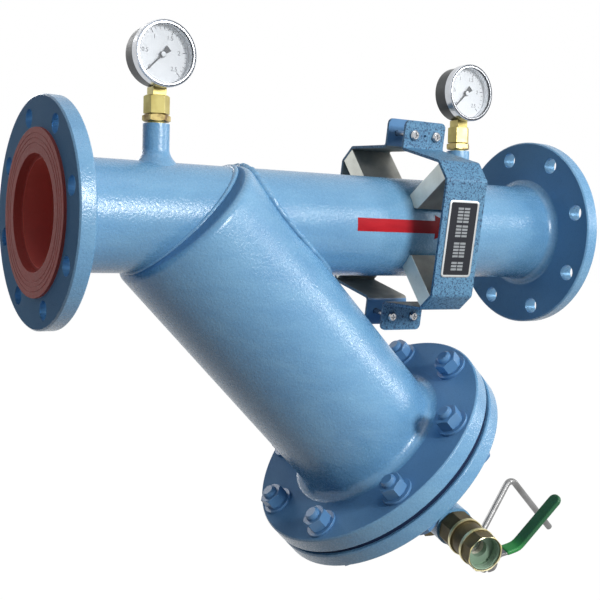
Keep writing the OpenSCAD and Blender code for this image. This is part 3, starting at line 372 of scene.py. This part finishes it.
def pale_grey():
    """Smudged silver-grey paint on the ends of the blocks, kept lighter than their sides, which take a
    painted shade.
    """
    f = Finish("pale_grey_paint", Metallic=0.8)
    smudge = f.noise(30.0, 4.0, 0.6)
    fine = f.noise(500.0, 2.0)
    base = f.mix(f.ramp(smudge, 0.35, 0.7), rgb(222, 224, 216), rgb(204, 206, 198))
    f.set(Base_Color=f.mix(f.ramp(fine, 0.6, 0.75) * 0.2, base, rgb(170, 172, 164)),
          Roughness=0.5 + 0.15 * smudge)
    return f.bumped(fine, 0.0002, 0.4)


def dust_and_shade_grey():
    """Dull grey of the collar's inside, and of the blocks' sides, where it is a painted shade darker than
    their ends.
    """
    f = Finish("dust_and_shade_grey", Specular_IOR_Level=0.3)
    smudge = f.noise(36.0, 4.0, 0.6)
    fine = f.noise(600.0, 2.0)
    base = f.mix(f.ramp(smudge, 0.3, 0.7), rgb(172, 170, 162), rgb(146, 145, 138))
    f.set(Base_Color=f.mix(f.ramp(fine, 0.58, 0.75) * 0.3, base, rgb(110, 108, 102)),
          Roughness=0.55 + 0.15 * smudge)
    return f.bumped(fine, 0.0002, 0.4)


def shaded_plain_blue():
    """Thin blue paint on the bolts and between the collar's ears, darker than the enamel as painted shade."""
    f = Finish("shaded_blue_paint")
    smudge = f.noise(40.0, 3.0)
    fine = f.noise(700.0, 2.0)
    f.set(Base_Color=f.mix(smudge, rgb(80, 125, 171), rgb(99, 146, 188)), Roughness=0.3 + 0.12 * fine)
    return f.bumped(fine, 0.0002, 0.4)


def yellow_brass():
    """Turned brass of the gauges' fittings."""
    f = Finish("yellow_brass", Metallic=0.45)
    turn = f.noise(240.0, 3.0, 0.6, f.stretched((0.0, 0.0, 0.0), (1.0, 1.0, 0.12)))
    stain = f.noise(70.0, 3.0)
    base = f.mix(f.ramp(stain, 0.35, 0.7), rgb(206, 192, 120), rgb(182, 164, 92))
    f.set(Base_Color=base, Roughness=0.3 + 0.18 * turn)
    return f.bumped(turn, 0.0001, 0.25)


def browned_brass():
    """Stained brass of the gauges' locknuts."""
    f = Finish("browned_brass", Metallic=0.45)
    grain = f.noise(300.0, 3.0, 0.6)
    stain = f.noise(110.0, 3.0)
    base = f.mix(f.ramp(stain, 0.4, 0.65), rgb(212, 190, 124), rgb(126, 98, 58))
    f.set(Base_Color=base, Roughness=0.32 + 0.18 * grain)
    return f.bumped(grain, 0.00012, 0.3)


def bronzed_brass():
    """Dull cast brass of the drain valve, bright where it was turned and green in its mouth."""
    f = Finish("bronzed_brass")
    grain = f.noise(600.0, 3.0, 0.6)
    stain = f.noise(60.0, 3.0)
    reach = f.along(ALONG_VALVE, VALVE_FOOT)
    rim = f.around(ALONG_VALVE, VALVE_FOOT)
    first_ring, second_ring = (f.between(reach, *ring) for ring in VALVE_RINGS)
    bright = f.above(rim, VALVE_RING_R) * (first_ring | second_ring)
    bright = bright | f.above(reach, VALVE_FRONT) * f.below(rim, VALVE_FRONT_R)
    inside = f.below(rim, MOUTH_R, blur=0.0002) * f.above(reach, MOUTH_BACK, blur=0.001)
    dull = f.mix(f.ramp(stain, 0.3, 0.7), rgb(104, 92, 60), rgb(82, 72, 48))
    dull = f.mix(f.ramp(grain, 0.55, 0.75) * 0.5, dull, rgb(60, 52, 38))
    cut = f.mix(f.ramp(stain, 0.35, 0.65), rgb(238, 230, 190), rgb(218, 204, 146))
    f.set(Base_Color=f.mix(inside, f.mix(bright, dull, cut), rgb(142, 168, 146)),
          Metallic=0.55 + 0.3 * bright - 0.3 * inside, Roughness=0.46 + 0.12 * grain - 0.16 * bright)
    return f.bumped(grain, 0.00016, 0.5)


def drawn_steel():
    """Drawn bar of the crank and the lever."""
    f = Finish("drawn_steel", Metallic=0.85)
    draw = f.noise(180.0, 4.0, 0.6)
    stain = f.noise(35.0, 4.0)
    f.set(Base_Color=f.mix(f.ramp(stain, 0.35, 0.7), rgb(142, 142, 142), rgb(118, 117, 116)),
          Roughness=0.24 + 0.2 * draw)
    return f.bumped(draw, 0.0001, 0.3)


def plated_steel():
    """Plating on the collar's screws and nuts."""
    return speckled("plated_steel", 220.0, 3.0, rgb(198, 200, 203), rgb(160, 162, 165), 0.16, 0.16,
                    Metallic=0.9)


def polished_ring(x):
    """Bright bezel with painted shade: a painted shadow under its lip, and painted reflections of darker
    surroundings in a groove in its front and on its back edge.
    """
    f = Finish("polished_ring", Metallic=0.8)
    haze = f.noise(160.0, 3.0)
    rim = f.around((0.0, 1.0, 0.0), (x, 0.0, DIAL_Z))
    depth = f.along((0.0, 1.0, 0.0), (0.0, BEZEL_FRONT, 0.0))
    lip = f.below(rim, BEZEL_LIP_R, blur=0.0003)
    groove = f.between(rim, *BEZEL_GROOVE_R, blur=0.0003) * f.below(depth, BEZEL_GROOVE_DEEP)
    painted_shade = lip | groove | f.above(depth, BEZEL_BACK_DEEP)
    bright = f.mix(haze, rgb(216, 219, 224), rgb(198, 201, 206))
    return f.set(Base_Color=f.mix(painted_shade, bright, rgb(52, 56, 62)), Roughness=0.12 + 0.14 * haze)


def black_rubber():
    """Gasket and packing."""
    f = Finish("black_rubber", Specular_IOR_Level=0.1)
    grain = f.noise(700.0, 3.0)
    f.set(Base_Color=f.mix(grain, rgb(22, 36, 64), rgb(32, 48, 78)), Roughness=0.6 + 0.2 * grain)
    return f.bumped(grain, 0.0002, 0.5)


def green_plastic():
    """Soft sleeve of the lever, in a lighter green from its start to just past the bend."""
    f = Finish("green_plastic", Specular_IOR_Level=0.35)
    skin_grain = f.noise(260.0, 3.0)
    flow = f.noise(28.0, 3.0)
    reach = f.along(-ACROSS_VALVE, VALVE_FOOT)
    base = f.mix(f.ramp(flow, 0.3, 0.7), rgb(36, 92, 58), rgb(44, 104, 66))
    base = f.mix(f.below(reach, SLEEVE_LIGHT_TO, blur=0.012), base, rgb(46, 136, 68))
    f.set(Base_Color=base, Roughness=0.36 + 0.16 * skin_grain)
    return f.bumped(skin_grain, 0.0002, 0.4)


def black_enamel():
    """Stoved black of the gauges' cases."""
    f = Finish("black_enamel")
    peel = f.noise(500.0, 2.0)
    f.set(Base_Color=f.mix(f.ramp(f.noise(40.0), 0.3, 0.7), rgb(46, 50, 52), rgb(64, 68, 70)),
          Roughness=0.28 + 0.14 * peel)
    return f.bumped(peel, 0.00012, 0.4)


def white_enamel():
    """The dials."""
    return speckled("white_enamel", 60.0, 3.0, rgb(232, 235, 238), rgb(224, 227, 231), 0.5, 0.1,
                    Specular_IOR_Level=0.2)


def white_wall():
    """White inside of the cases, in front of the dials."""
    return speckled("white_wall", 60.0, 3.0, rgb(240, 242, 244), rgb(230, 233, 236), 0.4, 0.1,
                    Metallic=0.75)


def printed_black():
    """Black of the pointers and of the plate."""
    return speckled("printed_black", 900.0, 2.0, rgb(20, 22, 28), rgb(36, 38, 46), 0.45, 0.16,
                    Specular_IOR_Level=0.2)


def cell_grey():
    """Blank cells of the plate."""
    return speckled("cell_grey", 900.0, 2.0, rgb(128, 132, 136), rgb(166, 170, 172), 0.5, 0.16,
                    Specular_IOR_Level=0.2)


def dial_ink():
    """Ticks and numbers of the dials."""
    return speckled("dial_ink", 1500.0, 2.0, rgb(58, 62, 72), rgb(84, 88, 98), 0.6, 0.1)


def red_paint():
    """Brushed arrow, darker where the collar shades it."""
    f = Finish("red_paint", Specular_IOR_Level=0.12)
    brush = f.noise(90.0, 4.0, 0.6, f.stretched((0.0, 0.0, 0.0), (0.2, 1.0, 1.0)))
    peel = f.noise(500.0, 2.0)
    coat = f.mix(f.ramp(brush, 0.3, 0.7), rgb(188, 28, 40), rgb(168, 20, 34))
    f.set(Base_Color=f.mix(0.75 * f.ramp(f.along(ALONG_RUN), *ARROW_SHADE), coat, rgb(124, 18, 30)),
          Roughness=0.4 + 0.16 * peel)
    return f.bumped(peel, 0.0002, 0.5)


def bare_aluminium():
    """Brushed rim of the plate."""
    f = Finish("bare_aluminium", Metallic=1.0)
    brush = f.noise(400.0, 3.0, 0.6, f.stretched((0.0, 0.0, 0.0), (1.0, 1.0, 0.08)))
    return f.set(Base_Color=f.mix(brush, rgb(206, 208, 208), rgb(176, 180, 182)),
                 Roughness=0.3 + 0.2 * brush)


def pale_plastic():
    """Brush strips, valve seats and stem packing."""
    return speckled("pale_plastic", 400.0, 3.0, rgb(226, 222, 206), rgb(206, 202, 186), 0.5, 0.15)


def clear_glass():
    """Lenses of the gauges."""
    f = Finish("clear_glass", Roughness=0.04, Alpha=0.08, IOR=1.45)
    return f.set(Base_Color=f.mix(f.noise(20.0), rgb(246, 249, 250), rgb(252, 253, 254)))


# ------------------------------------------------------------------ pieces
record = frame["record"]
body_of_node = {n: body for body, nodes in record["behaviour"]["bodies"].items() for n in nodes}


def placed(name, bm, finishes, body, stands_for=(), even=True):
    """Makes a bmesh a piece of the object, riding on a body."""
    mesh = bpy.data.meshes.new(name)
    for face in bm.faces:
        face.smooth = True
    bm.to_mesh(mesh)
    bm.free()
    for finish in finishes:
        mesh.materials.append(finish.material)
    piece = bpy.data.objects.new(name, mesh)
    bpy.context.scene.collection.objects.link(piece)
    if even:
        normals = piece.modifiers.new("even_shading", "WEIGHTED_NORMAL")
        normals.keep_sharp = True
    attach(piece, body)
    if stands_for:
        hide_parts(*stands_for)


def solid_copy(node):
    """A CAD solid with its loose triangles merged into whole faces."""
    bm = bmesh.new()
    bm.from_mesh(frame["nodes"][node].data)
    for layer in list(bm.loops.layers.uv.values()):
        bm.loops.layers.uv.remove(layer)
    bmesh.ops.remove_doubles(bm, verts=bm.verts, dist=MERGE)
    bmesh.ops.dissolve_limit(bm, angle_limit=FLAT_ANGLE, verts=bm.verts, edges=bm.edges)
    return bm


def break_edges(bm, width):
    """Rounds the sharp edges a little, or only marks them where they stay unbroken."""
    sharp = [e for e in bm.edges if len(e.link_faces) == 2 and e.calc_face_angle(0.0) > SHARP_ANGLE]
    if width:
        bmesh.ops.bevel(bm, geom=sharp, offset=width, offset_type="OFFSET", affect="EDGES", segments=2,
                        profile=0.5, material=-1, clamp_overlap=True)
    else:
        for edge in sharp:
            edge.smooth = False
    return bm


def skin(node, bm, *finishes):
    """Puts a finished copy of a CAD solid in that solid's place."""
    placed(node + "_skin", bm, finishes, body_of_node[node], [node])


def dressed(node, finish, width=UNBROKEN):
    """A CAD solid in one finish, with its edges broken."""
    skin(node, break_edges(solid_copy(node), width), finish)


enamel = blue_enamel()
shaded_matt = shaded_matt_enamel()
hole_light = hole_light_enamel()
shaded_blue = shaded_plain_blue()
brass = yellow_brass()
bronze = bronzed_brass()
steel = drawn_steel()
plated = plated_steel()
rubber = black_rubber()
black = black_enamel()
white = white_enamel()
grey = pale_grey()
dust_and_shade = dust_and_shade_grey()
print_black = printed_black()
ink = dial_ink()
plastic = pale_plastic()
glass = clear_glass()
wall = white_wall()
hammered = hammertone()

for finish, width, nodes in (
    (enamel, UNBROKEN, ("inlet_pipe", "outlet_pipe", "filter_barrel", "drain_chamber", "drain_branch")),
    (enamel, PLATE_EDGE, ("cover_plate",)),
    (enamel, PRESSED_EDGE, ("gland_housing", "gauge_bosses")),
    (shaded_blue, BOLT_EDGE, ("cover_bolts", "cover_nuts")),
    (shaded_blue, PRESSED_EDGE, ("cover_washers",)),
    (rubber, BOLT_EDGE, ("cover_gasket",)),
    (brass, TURNED_EDGE, ("inlet_gauge_stem", "outlet_gauge_stem")),
    (bronze, TURNED_EDGE, ("valve_body", "valve_end", "stem_gland", "gland_nut", "valve_stem")),
    (steel, TURNED_EDGE, ("crank_rod", "drain_lever", "lever_nut")),
    (plated, TURNED_EDGE, ("collar_screws", "collar_nuts")),
):
    for node in nodes:
        dressed(node, finish, width)

# Pieces that the housing hides keep their CAD mesh.
for finish, nodes in (
    (steel, ("screen_cage", "screen_mesh", "screen_rings", "pilot_spider", "brush_holder")),
    (plastic, ("brush_strips", "valve_seats", "stem_packing")),
    (rubber, ("gland_packing",)),
    (brass, ("drain_nipple", "gauge_tubes")),
    (plated, ("valve_ball",)),
):
    for node in nodes:
        materials = frame["nodes"][node].data.materials
        materials.clear()
        materials.append(finish.material)


def flange(node, face_way, width=PLATE_EDGE, lit_holes=False):
    """A flange with a glossy rim, a duller and darker face that looks one way as painted shade, and lighter
    enamel in its holes as painted light.
    """
    bm = break_edges(solid_copy(node), width)
    nearest, farthest = BOLT_HOLES_R
    for face in bm.faces:
        middle = face.calc_center_median()
        if face.normal.dot(face_way) > STRAIGHT_ON and middle.x > BARE_FACE_X:
            face.material_index = 1
        elif lit_holes and abs(face.normal.x) < EDGE_ON and nearest < middle.yz.length < farthest:
            face.material_index = 2
    skin(node, bm, enamel, shaded_matt, hole_light)


flange("inlet_flange", -ALONG_RUN, lit_holes=True)
flange("outlet_flange", -ALONG_RUN, lit_holes=True)
flange("barrel_flange", -DOWN_BARREL)
flange("barrel_end_plate", -DOWN_BARREL, UNBROKEN)


def tightened(node, finish):
    """Hexagons of the gauge fittings, turned to where the threads came tight."""
    bm = break_edges(solid_copy(node), TURNED_EDGE)
    for x in GAUGES.values():
        hexagon = [v for v in bm.verts if abs(v.co.x - x) < GAUGE_REACH]
        bmesh.ops.rotate(bm, verts=hexagon, cent=(x, 0.0, 0.0), matrix=Matrix.Rotation(HEXAGON_TURN, 3, "Z"))
    skin(node, bm, finish)


tightened("gauge_adapters", brass)
tightened("gauge_locknuts", browned_brass())


def gauge_case(side, x):
    """A black case whose mouth is white inside."""
    node = side + "_gauge_case"
    bm = break_edges(solid_copy(node), PRESSED_EDGE)
    for face in bm.faces:
        middle = face.calc_center_median()
        looks_inwards = face.normal.x * (middle.x - x) + face.normal.z * (middle.z - DIAL_Z) < 0
        if looks_inwards and middle.y < CASE_WHITE_BACK:
            face.material_index = 1
    skin(node, bm, black, wall)


def add_number(bm, text, place):
    """Adds a number to a mesh, made a mesh before it takes its place."""
    words = bpy.data.curves.new("dial_number", "FONT")
    words.body = text
    words.size = NUMBER_HIGH
    words.align_x = "CENTER"
    words.align_y = "CENTER"
    words.resolution_u = 3
    words.extrude = NUMBER_THICK
    carrier = bpy.data.objects.new("dial_number", words)
    figures = bpy.data.meshes.new_from_object(carrier)
    figures.transform(place)
    bm.from_mesh(figures)
    bpy.data.objects.remove(carrier)
    bpy.data.curves.remove(words)
    bpy.data.meshes.remove(figures)


def dial_marks(side, x):
    """Ticks and plain numbers on a dial, over three quarters of a turn."""
    bm = bmesh.new()
    face = Matrix.Translation((x, DIAL_FRONT - INK_LIFT, DIAL_Z)) @ UPRIGHT
    for step in range(DIAL_STEPS + 1):
        major = step % DIAL_MAJOR == 0
        length, width = MAJOR_TICK if major else MINOR_TICK
        turn = Matrix.Rotation(DIAL_SWEEP * (0.5 - step / DIAL_STEPS), 4, "Z")
        tick = face @ turn @ Matrix.Translation((0.0, TICKS_R - length / 2, 0.0))
        bmesh.ops.create_cube(bm, size=1.0, matrix=tick @ Matrix.Diagonal((width, length, INK_THICK, 1.0)))
        if major:
            spot = turn @ Vector((0.0, NUMBERS_R, 0.0))
            add_number(bm, f"{step / 10:g}", face @ Matrix.Translation(spot))
    placed(side + "_dial_marks", bm, [ink], "housing", even=False)


def pointer_cap(side, x):
    """Small cap over the pointer's pivot."""
    bm = bmesh.new()
    bmesh.ops.create_cone(bm, cap_ends=True, segments=32, radius1=CAP_BACK_R, radius2=CAP_FRONT_R,
                          depth=CAP_THICK, matrix=Matrix.Translation((x, CAP_Y, DIAL_Z)) @ UPRIGHT)
    placed(side + "_pointer_cap", break_edges(bm, CAP_EDGE), [white], side + "_needle")


for side, x in GAUGES.items():
    dressed(side + "_gauge_bezel", polished_ring(x))
    dressed(side + "_gauge_dial", white)
    dressed(side + "_gauge_pointer", print_black, POINTER_EDGE)
    dressed(side + "_gauge_lens", glass)
    gauge_case(side, x)
    dial_marks(side, x)
    pointer_cap(side, x)


def collar_blocks():
    """Blocks in two greys by the way their faces look: pale ends, and darker sides that are painted shade."""
    bm = break_edges(solid_copy("collar_blocks"), BLOCK_EDGE)
    for face in bm.faces:
        face.material_index = 0 if abs(face.normal.x) > HALF_ON else 1
    skin("collar_blocks", bm, grey, dust_and_shade)


def collar_half(node):
    """A collar strip with its hammered outside, its dull inside, and thin paint between its ears that is
    darker as painted shade.
    """
    bm = break_edges(solid_copy(node), PRESSED_EDGE)
    back = COLLAR_PLACE.inverted()
    turn = back.to_3x3()
    for face in bm.faces:
        middle = back @ face.calc_center_median()
        way = turn @ face.normal
        outwards = way.yz.dot(middle.yz)
        if abs(middle.z) > EAR_FOOT:
            face.material_index = 2 if way.y * middle.y < EAR_INSIDE else 0
        elif abs(way.x) < HALF_ON and outwards < STRIP_INSIDE:
            face.material_index = 1
    skin(node, bm, hammered, dust_and_shade, shaded_blue)


def collar_plate():
    """Black plate with a bare rim and blocks of blank cells."""
    bm = solid_copy("collar_plate")
    turn = COLLAR_PLACE.inverted().to_3x3()
    front = min(bm.faces, key=lambda face: (turn @ face.normal).y * face.calc_area())
    bmesh.ops.inset_region(bm, faces=[front], thickness=PLATE_RIM, depth=0.0, use_even_offset=True)
    bmesh.ops.inset_region(bm, faces=[front], thickness=PLATE_STEP_WIDE, depth=-PLATE_STEP_DEEP,
                           use_even_offset=True)
    front.material_index = 1
    cell_size = Matrix.Diagonal((CELL_WIDE - CELL_LINE, CELL_THICK, CELL_HIGH - CELL_LINE, 1.0))
    for middle, rows in CELL_BLOCKS:
        for row in range(rows):
            for column in (-0.5, 0.5):
                spot = Matrix.Translation((CELL_WIDE * column, PLATE_FRONT + CELL_SUNK,
                                           middle + CELL_HIGH * ((rows - 1) / 2 - row)))
                cell = bmesh.ops.create_cube(bm, size=1.0, matrix=COLLAR_PLACE @ spot @ cell_size)["verts"]
                for face in {f for v in cell for f in v.link_faces}:
                    face.material_index = 2
    placed("collar_plate_face", bm, [bare_aluminium(), print_black, cell_grey()], "housing",
           ["collar_plate"])


collar_blocks()
collar_half("collar_front_half")
collar_half("collar_rear_half")
collar_plate()


def flow_arrow():
    """Painted arrow that lies on the outlet pipe: a plain band, and one drawn to a point."""
    bm = bmesh.new()
    cuts_along, cuts_around = 8, 24
    for start, end, half, pointed in ARROW_BANDS:
        before = set(bm.verts)
        side = [bm.verts.new((start + (end - start) * k / cuts_along, -(PIPE_R + ARROW_LIFT), 0.0))
                for k in range(cuts_along + 1)]
        line = [bm.edges.new(pair) for pair in zip(side, side[1:])]
        bmesh.ops.rotate(bm, verts=side, cent=(0, 0, 0), matrix=Matrix.Rotation(half, 3, "X"))
        bmesh.ops.spin(bm, geom=side + line, cent=(0, 0, 0), axis=ALONG_RUN, angle=-2 * half,
                       steps=cuts_around, use_merge=False)
        if pointed:
            for v in set(bm.verts) - before:
                lean = abs(math.atan2(v.co.z, -v.co.y)) / half
                v.co.x = start + (v.co.x - start) * max(0.0, 1 - lean)
    bmesh.ops.remove_doubles(bm, verts=bm.verts, dist=FINE_MERGE)
    bmesh.ops.recalc_face_normals(bm, faces=bm.faces)
    if sum(face.normal.y for face in bm.faces) > 0:
        bmesh.ops.reverse_faces(bm, faces=bm.faces)
    placed("flow_arrow", bm, [red_paint()], "housing", even=False)


flow_arrow()


def mouth_thread():
    """Pipe thread in the valve's mouth."""
    bm = bmesh.new()
    steps = 40
    ridge = [bm.verts.new((THREAD_START + THREAD_PITCH * along, 0.0, reach)) for along, reach in (
        (0.02, THREAD_R), (0.5, THREAD_R - THREAD_DEEP), (0.98, THREAD_R))]
    flanks = [bm.edges.new(pair) for pair in zip(ridge, ridge[1:])]
    bmesh.ops.spin(bm, geom=ridge + flanks, cent=(0, 0, 0), axis=(1, 0, 0), dvec=(THREAD_PITCH / steps, 0, 0),
                   angle=math.tau * THREAD_TURNS, steps=steps * THREAD_TURNS, use_merge=False)
    bmesh.ops.remove_doubles(bm, verts=bm.verts, dist=THREAD_MERGE)
    bmesh.ops.recalc_face_normals(bm, faces=bm.faces)
    if sum(face.normal.yz.dot(face.calc_center_median().yz) for face in bm.faces) > 0:
        bmesh.ops.reverse_faces(bm, faces=bm.faces)
    bmesh.ops.transform(bm, matrix=VALVE_PLACE, verts=bm.verts)
    placed("mouth_thread", bm, [bronze], "housing", even=False)


mouth_thread()


def lever_grip():
    """Soft sleeve dipped over the lever, bent with it and round at the tip."""
    bm = bmesh.new()
    start, bend, tip = SLEEVE_ALONG
    middle = Matrix.Translation((0.0, (start + tip) / 2, 0.0))
    size = Matrix.Diagonal((SLEEVE_WIDE, tip - start, SLEEVE_THICK, 1.0))
    bmesh.ops.create_cube(bm, size=1.0, matrix=middle @ size)
    corners = [e for e in bm.edges if all(v.co.y > bend for v in e.verts)
               and abs(e.verts[0].co.z - e.verts[1].co.z) > SLEEVE_THICK / 2]
    bmesh.ops.bevel(bm, geom=corners, offset=SLEEVE_TIP_ROUND, affect="EDGES", segments=8, profile=0.5,
                    material=-1)
    rims = [e for e in bm.edges if e.calc_face_angle(0.0) > SQUARE_ANGLE]
    bmesh.ops.bevel(bm, geom=rims, offset=SLEEVE_RIM_ROUND, affect="EDGES", segments=4, profile=0.5,
                    material=-1)
    for cut in range(SLEEVE_CUTS):
        across = bend + SLEEVE_CUT_APART * (cut - SLEEVE_CUTS // 2)
        bmesh.ops.bisect_plane(bm, geom=bm.verts[:] + bm.edges[:] + bm.faces[:], dist=FINE_MERGE,
                               plane_co=(0.0, across, 0.0), plane_no=(0.0, 1.0, 0.0))
    for v in bm.verts:
        past = v.co.y - bend
        eased = math.hypot(past, SLEEVE_BEND_SOFT)
        slope = SLEEVE_RISE - (SLEEVE_RISE + SLEEVE_FALL) * (1 + past / eased) / 2
        level = SLEEVE_BEND_Z + SLEEVE_RISE * past - (SLEEVE_RISE + SLEEVE_FALL) * (past + eased) / 2
        lean = 1 / math.hypot(1.0, slope)
        v.co = Vector((VALVE_BALL + v.co.x, -(v.co.y - v.co.z * slope * lean), level + v.co.z * lean))
    bmesh.ops.recalc_face_normals(bm, faces=bm.faces)
    bmesh.ops.transform(bm, matrix=VALVE_PLACE, verts=bm.verts)
    placed("lever_grip", bm, [green_plastic()], "drain_handle", ["lever_sleeve"])


lever_grip()


def ripple(turn, waves):
    """The uneven run of a weld at an angle round the pipe."""
    return sum(size * math.sin(count * turn + shift) for count, size, shift in waves)


def fillet_weld(name, foot, way, girth, leg):
    """Hollow fillet weld round a pipe, with the slow ripple of a hand-laid run."""
    bm = bmesh.new()
    cuts = 8
    angles = [k * math.pi / 2 / cuts for k in range(cuts + 1)]
    ring = [bm.verts.new((girth + leg * (1 - math.sin(a)), 0.0, leg * (1 - math.cos(a)))) for a in angles]
    ring.append(bm.verts.new((girth, 0.0, 0.0)))
    loop = [bm.edges.new(pair) for pair in zip(ring, ring[1:] + ring[:1])]
    bmesh.ops.spin(bm, geom=ring + loop, cent=(0, 0, 0), axis=(0, 0, 1), angle=math.tau, steps=180,
                   use_merge=True)
    bmesh.ops.remove_doubles(bm, verts=bm.verts, dist=FINE_MERGE)
    bmesh.ops.recalc_face_normals(bm, faces=bm.faces)
    for v in bm.verts:
        out = v.co.xy.length - girth
        swell = FILLET_SWELL * out * v.co.z / leg * ripple(math.atan2(v.co.y, v.co.x), FILLET_WAVES)
        v.co.xy *= 1 + swell / girth
        v.co.z += swell
    turn = Vector((0, 0, 1)).rotation_difference(way).to_matrix().to_4x4()
    bmesh.ops.transform(bm, matrix=Matrix.Translation(foot) @ turn, verts=bm.verts)
    placed(name, break_edges(bm, UNBROKEN), [enamel], "housing", ["weld_beads"])


fillet_weld("inlet_flange_weld", ALONG_RUN * FLANGE_THICK, ALONG_RUN, PIPE_R, FLANGE_LEG)
fillet_weld("outlet_flange_weld", ALONG_RUN * (RUN_END - FLANGE_THICK), -ALONG_RUN, PIPE_R, FLANGE_LEG)
fillet_weld("barrel_flange_weld", BARREL_FLANGE_BACK, -DOWN_BARREL, BARREL_R, BARREL_LEG)
fillet_weld("chamber_weld", COVER_OUTSIDE, DOWN_BARREL, CHAMBER_R, CHAMBER_LEG)


def weld_ridge(name, run, joint):
    """A painted weld run: a bead spun round the pipe and settled on the joint."""
    bm = bmesh.new()
    sunk, bead, wobble, shift = run
    girth = PIPE_R - sunk
    circle = bmesh.ops.create_circle(bm, segments=10, radius=bead)["verts"]
    bmesh.ops.rotate(bm, verts=circle, cent=(0, 0, 0), matrix=UPRIGHT.to_3x3())
    bmesh.ops.translate(bm, verts=circle, vec=(0.0, 0.0, girth))
    bmesh.ops.spin(bm, geom=circle + bm.edges[:], cent=(0, 0, 0), axis=(1, 0, 0), angle=math.tau, steps=160,
                   use_merge=True)
    bmesh.ops.remove_doubles(bm, verts=bm.verts, dist=FINE_MERGE)
    bmesh.ops.recalc_face_normals(bm, faces=bm.faces)
    for v in bm.verts:
        turn = math.atan2(v.co.z, v.co.y)
        swell = wobble * ripple(turn, RIDGE_WAVES)
        settled = joint(girth * math.cos(turn), girth * math.sin(turn)) + shift
        v.co.x = v.co.x * (1 + RIDGE_SWELL * swell) + settled
        v.co.yz *= 1 + swell / girth
    placed(name, bm, [enamel], "housing", even=False)


def end_plate_joint(y, z):
    """Where the pipe meets the plane of the barrel's upper end."""
    return CROSSING.x + z


def saddle_joint(y, z):
    """Where the pipe comes out of the barrel's round wall."""
    return CROSSING.x + math.sqrt(2 * (BARREL_R ** 2 - y * y)) - z


weld_ridge("inlet_weld_ridge", END_PLATE_RUN, end_plate_joint)
weld_ridge("saddle_weld_ridge", SADDLE_RUN, saddle_joint)


# ------------------------------------------------------------------- stage
def shows_background(nodes):
    """1 for a ray that goes straight to the camera, off something glossy or through glass."""
    straight = nodes.node("ShaderNodeLightPath", output="Is Camera Ray")
    mirrored = nodes.node("ShaderNodeLightPath", output="Is Glossy Ray")
    through = nodes.node("ShaderNodeLightPath", output="Is Transmission Ray")
    return straight | mirrored | through


def floor_paint():
    """Glows white to the eye, and keeps the object's shadow."""
    material = bpy.data.materials.new("studio_floor")
    material.use_nodes = True
    nodes = Nodes(material.node_tree)
    paint = nodes.node("ShaderNodeBsdfPrincipled", None, {"Base Color": FLOOR_GREY, "Roughness": 0.9})
    glow = nodes.node("ShaderNodeEmission", None, {"Color": WHITE, "Strength": FLOOR_GLOW})
    shown = nodes.node("ShaderNodeMixShader", None, {
        0: shows_background(nodes) * FLOOR_GLOW_SHARE, 1: paint, 2: glow})
    nodes.node("ShaderNodeOutputMaterial", None, {"Surface": shown})
    return material


def studio_floor():
    """A wide floor under the object."""
    bm = bmesh.new()
    bmesh.ops.create_grid(bm, x_segments=1, y_segments=1, size=FLOOR_HALF,
                          matrix=Matrix.Translation((STAGE_MIDDLE.x, STAGE_MIDDLE.y, FLOOR_Z)))
    mesh = bpy.data.meshes.new("studio_floor")
    bm.to_mesh(mesh)
    bm.free()
    mesh.materials.append(floor_paint())
    floor = bpy.data.objects.new("studio_floor", mesh)
    bpy.context.scene.collection.objects.link(floor)


def studio_world():
    """Soft light on the object, and plain white where the background shows."""
    world = bpy.data.worlds.new("studio")
    world.use_nodes = True
    nodes = Nodes(world.node_tree)
    soft = nodes.node("ShaderNodeBackground", None, {"Color": SKY_TINT, "Strength": SKY_LEVEL})
    plain = nodes.node("ShaderNodeBackground", None, {"Color": WHITE, "Strength": 1.0})
    shown = nodes.node("ShaderNodeMixShader", None, {0: shows_background(nodes), 1: soft, 2: plain})
    nodes.node("ShaderNodeOutputWorld", None, {"Surface": shown})
    bpy.context.scene.world = world


def lamp(name, place, size, power):
    """A lamp that looks at the middle of the stage."""
    light = bpy.data.lights.new(name, "AREA")
    light.shape = "RECTANGLE"
    light.size, light.size_y = size
    light.energy = power
    holder = bpy.data.objects.new(name, light)
    holder.location = place
    holder.rotation_euler = (STAGE_MIDDLE - Vector(place)).to_track_quat("-Z", "Y").to_euler()
    bpy.context.scene.collection.objects.link(holder)


def photo_camera():
    """The camera as it was fitted to the photograph."""
    camera = bpy.data.cameras.new("camera")
    camera.sensor_width = SENSOR_MM
    camera.lens = FOCAL_PIXELS * SENSOR_MM / PHOTO_PIXELS
    viewer = bpy.data.objects.new("camera", camera)
    viewer.matrix_world = Matrix.Translation(CAMERA_PLACE) @ Matrix(
        (CAMERA_RIGHT, CAMERA_UP, CAMERA_RIGHT.cross(CAMERA_UP))).transposed().to_4x4()
    bpy.context.scene.collection.objects.link(viewer)
    bpy.context.scene.camera = viewer


studio_floor()
studio_world()
for name, (place, size, power) in LAMPS.items():
    lamp(name, place, size, power)
photo_camera()
bpy.context.scene.view_settings.view_transform = "Standard"
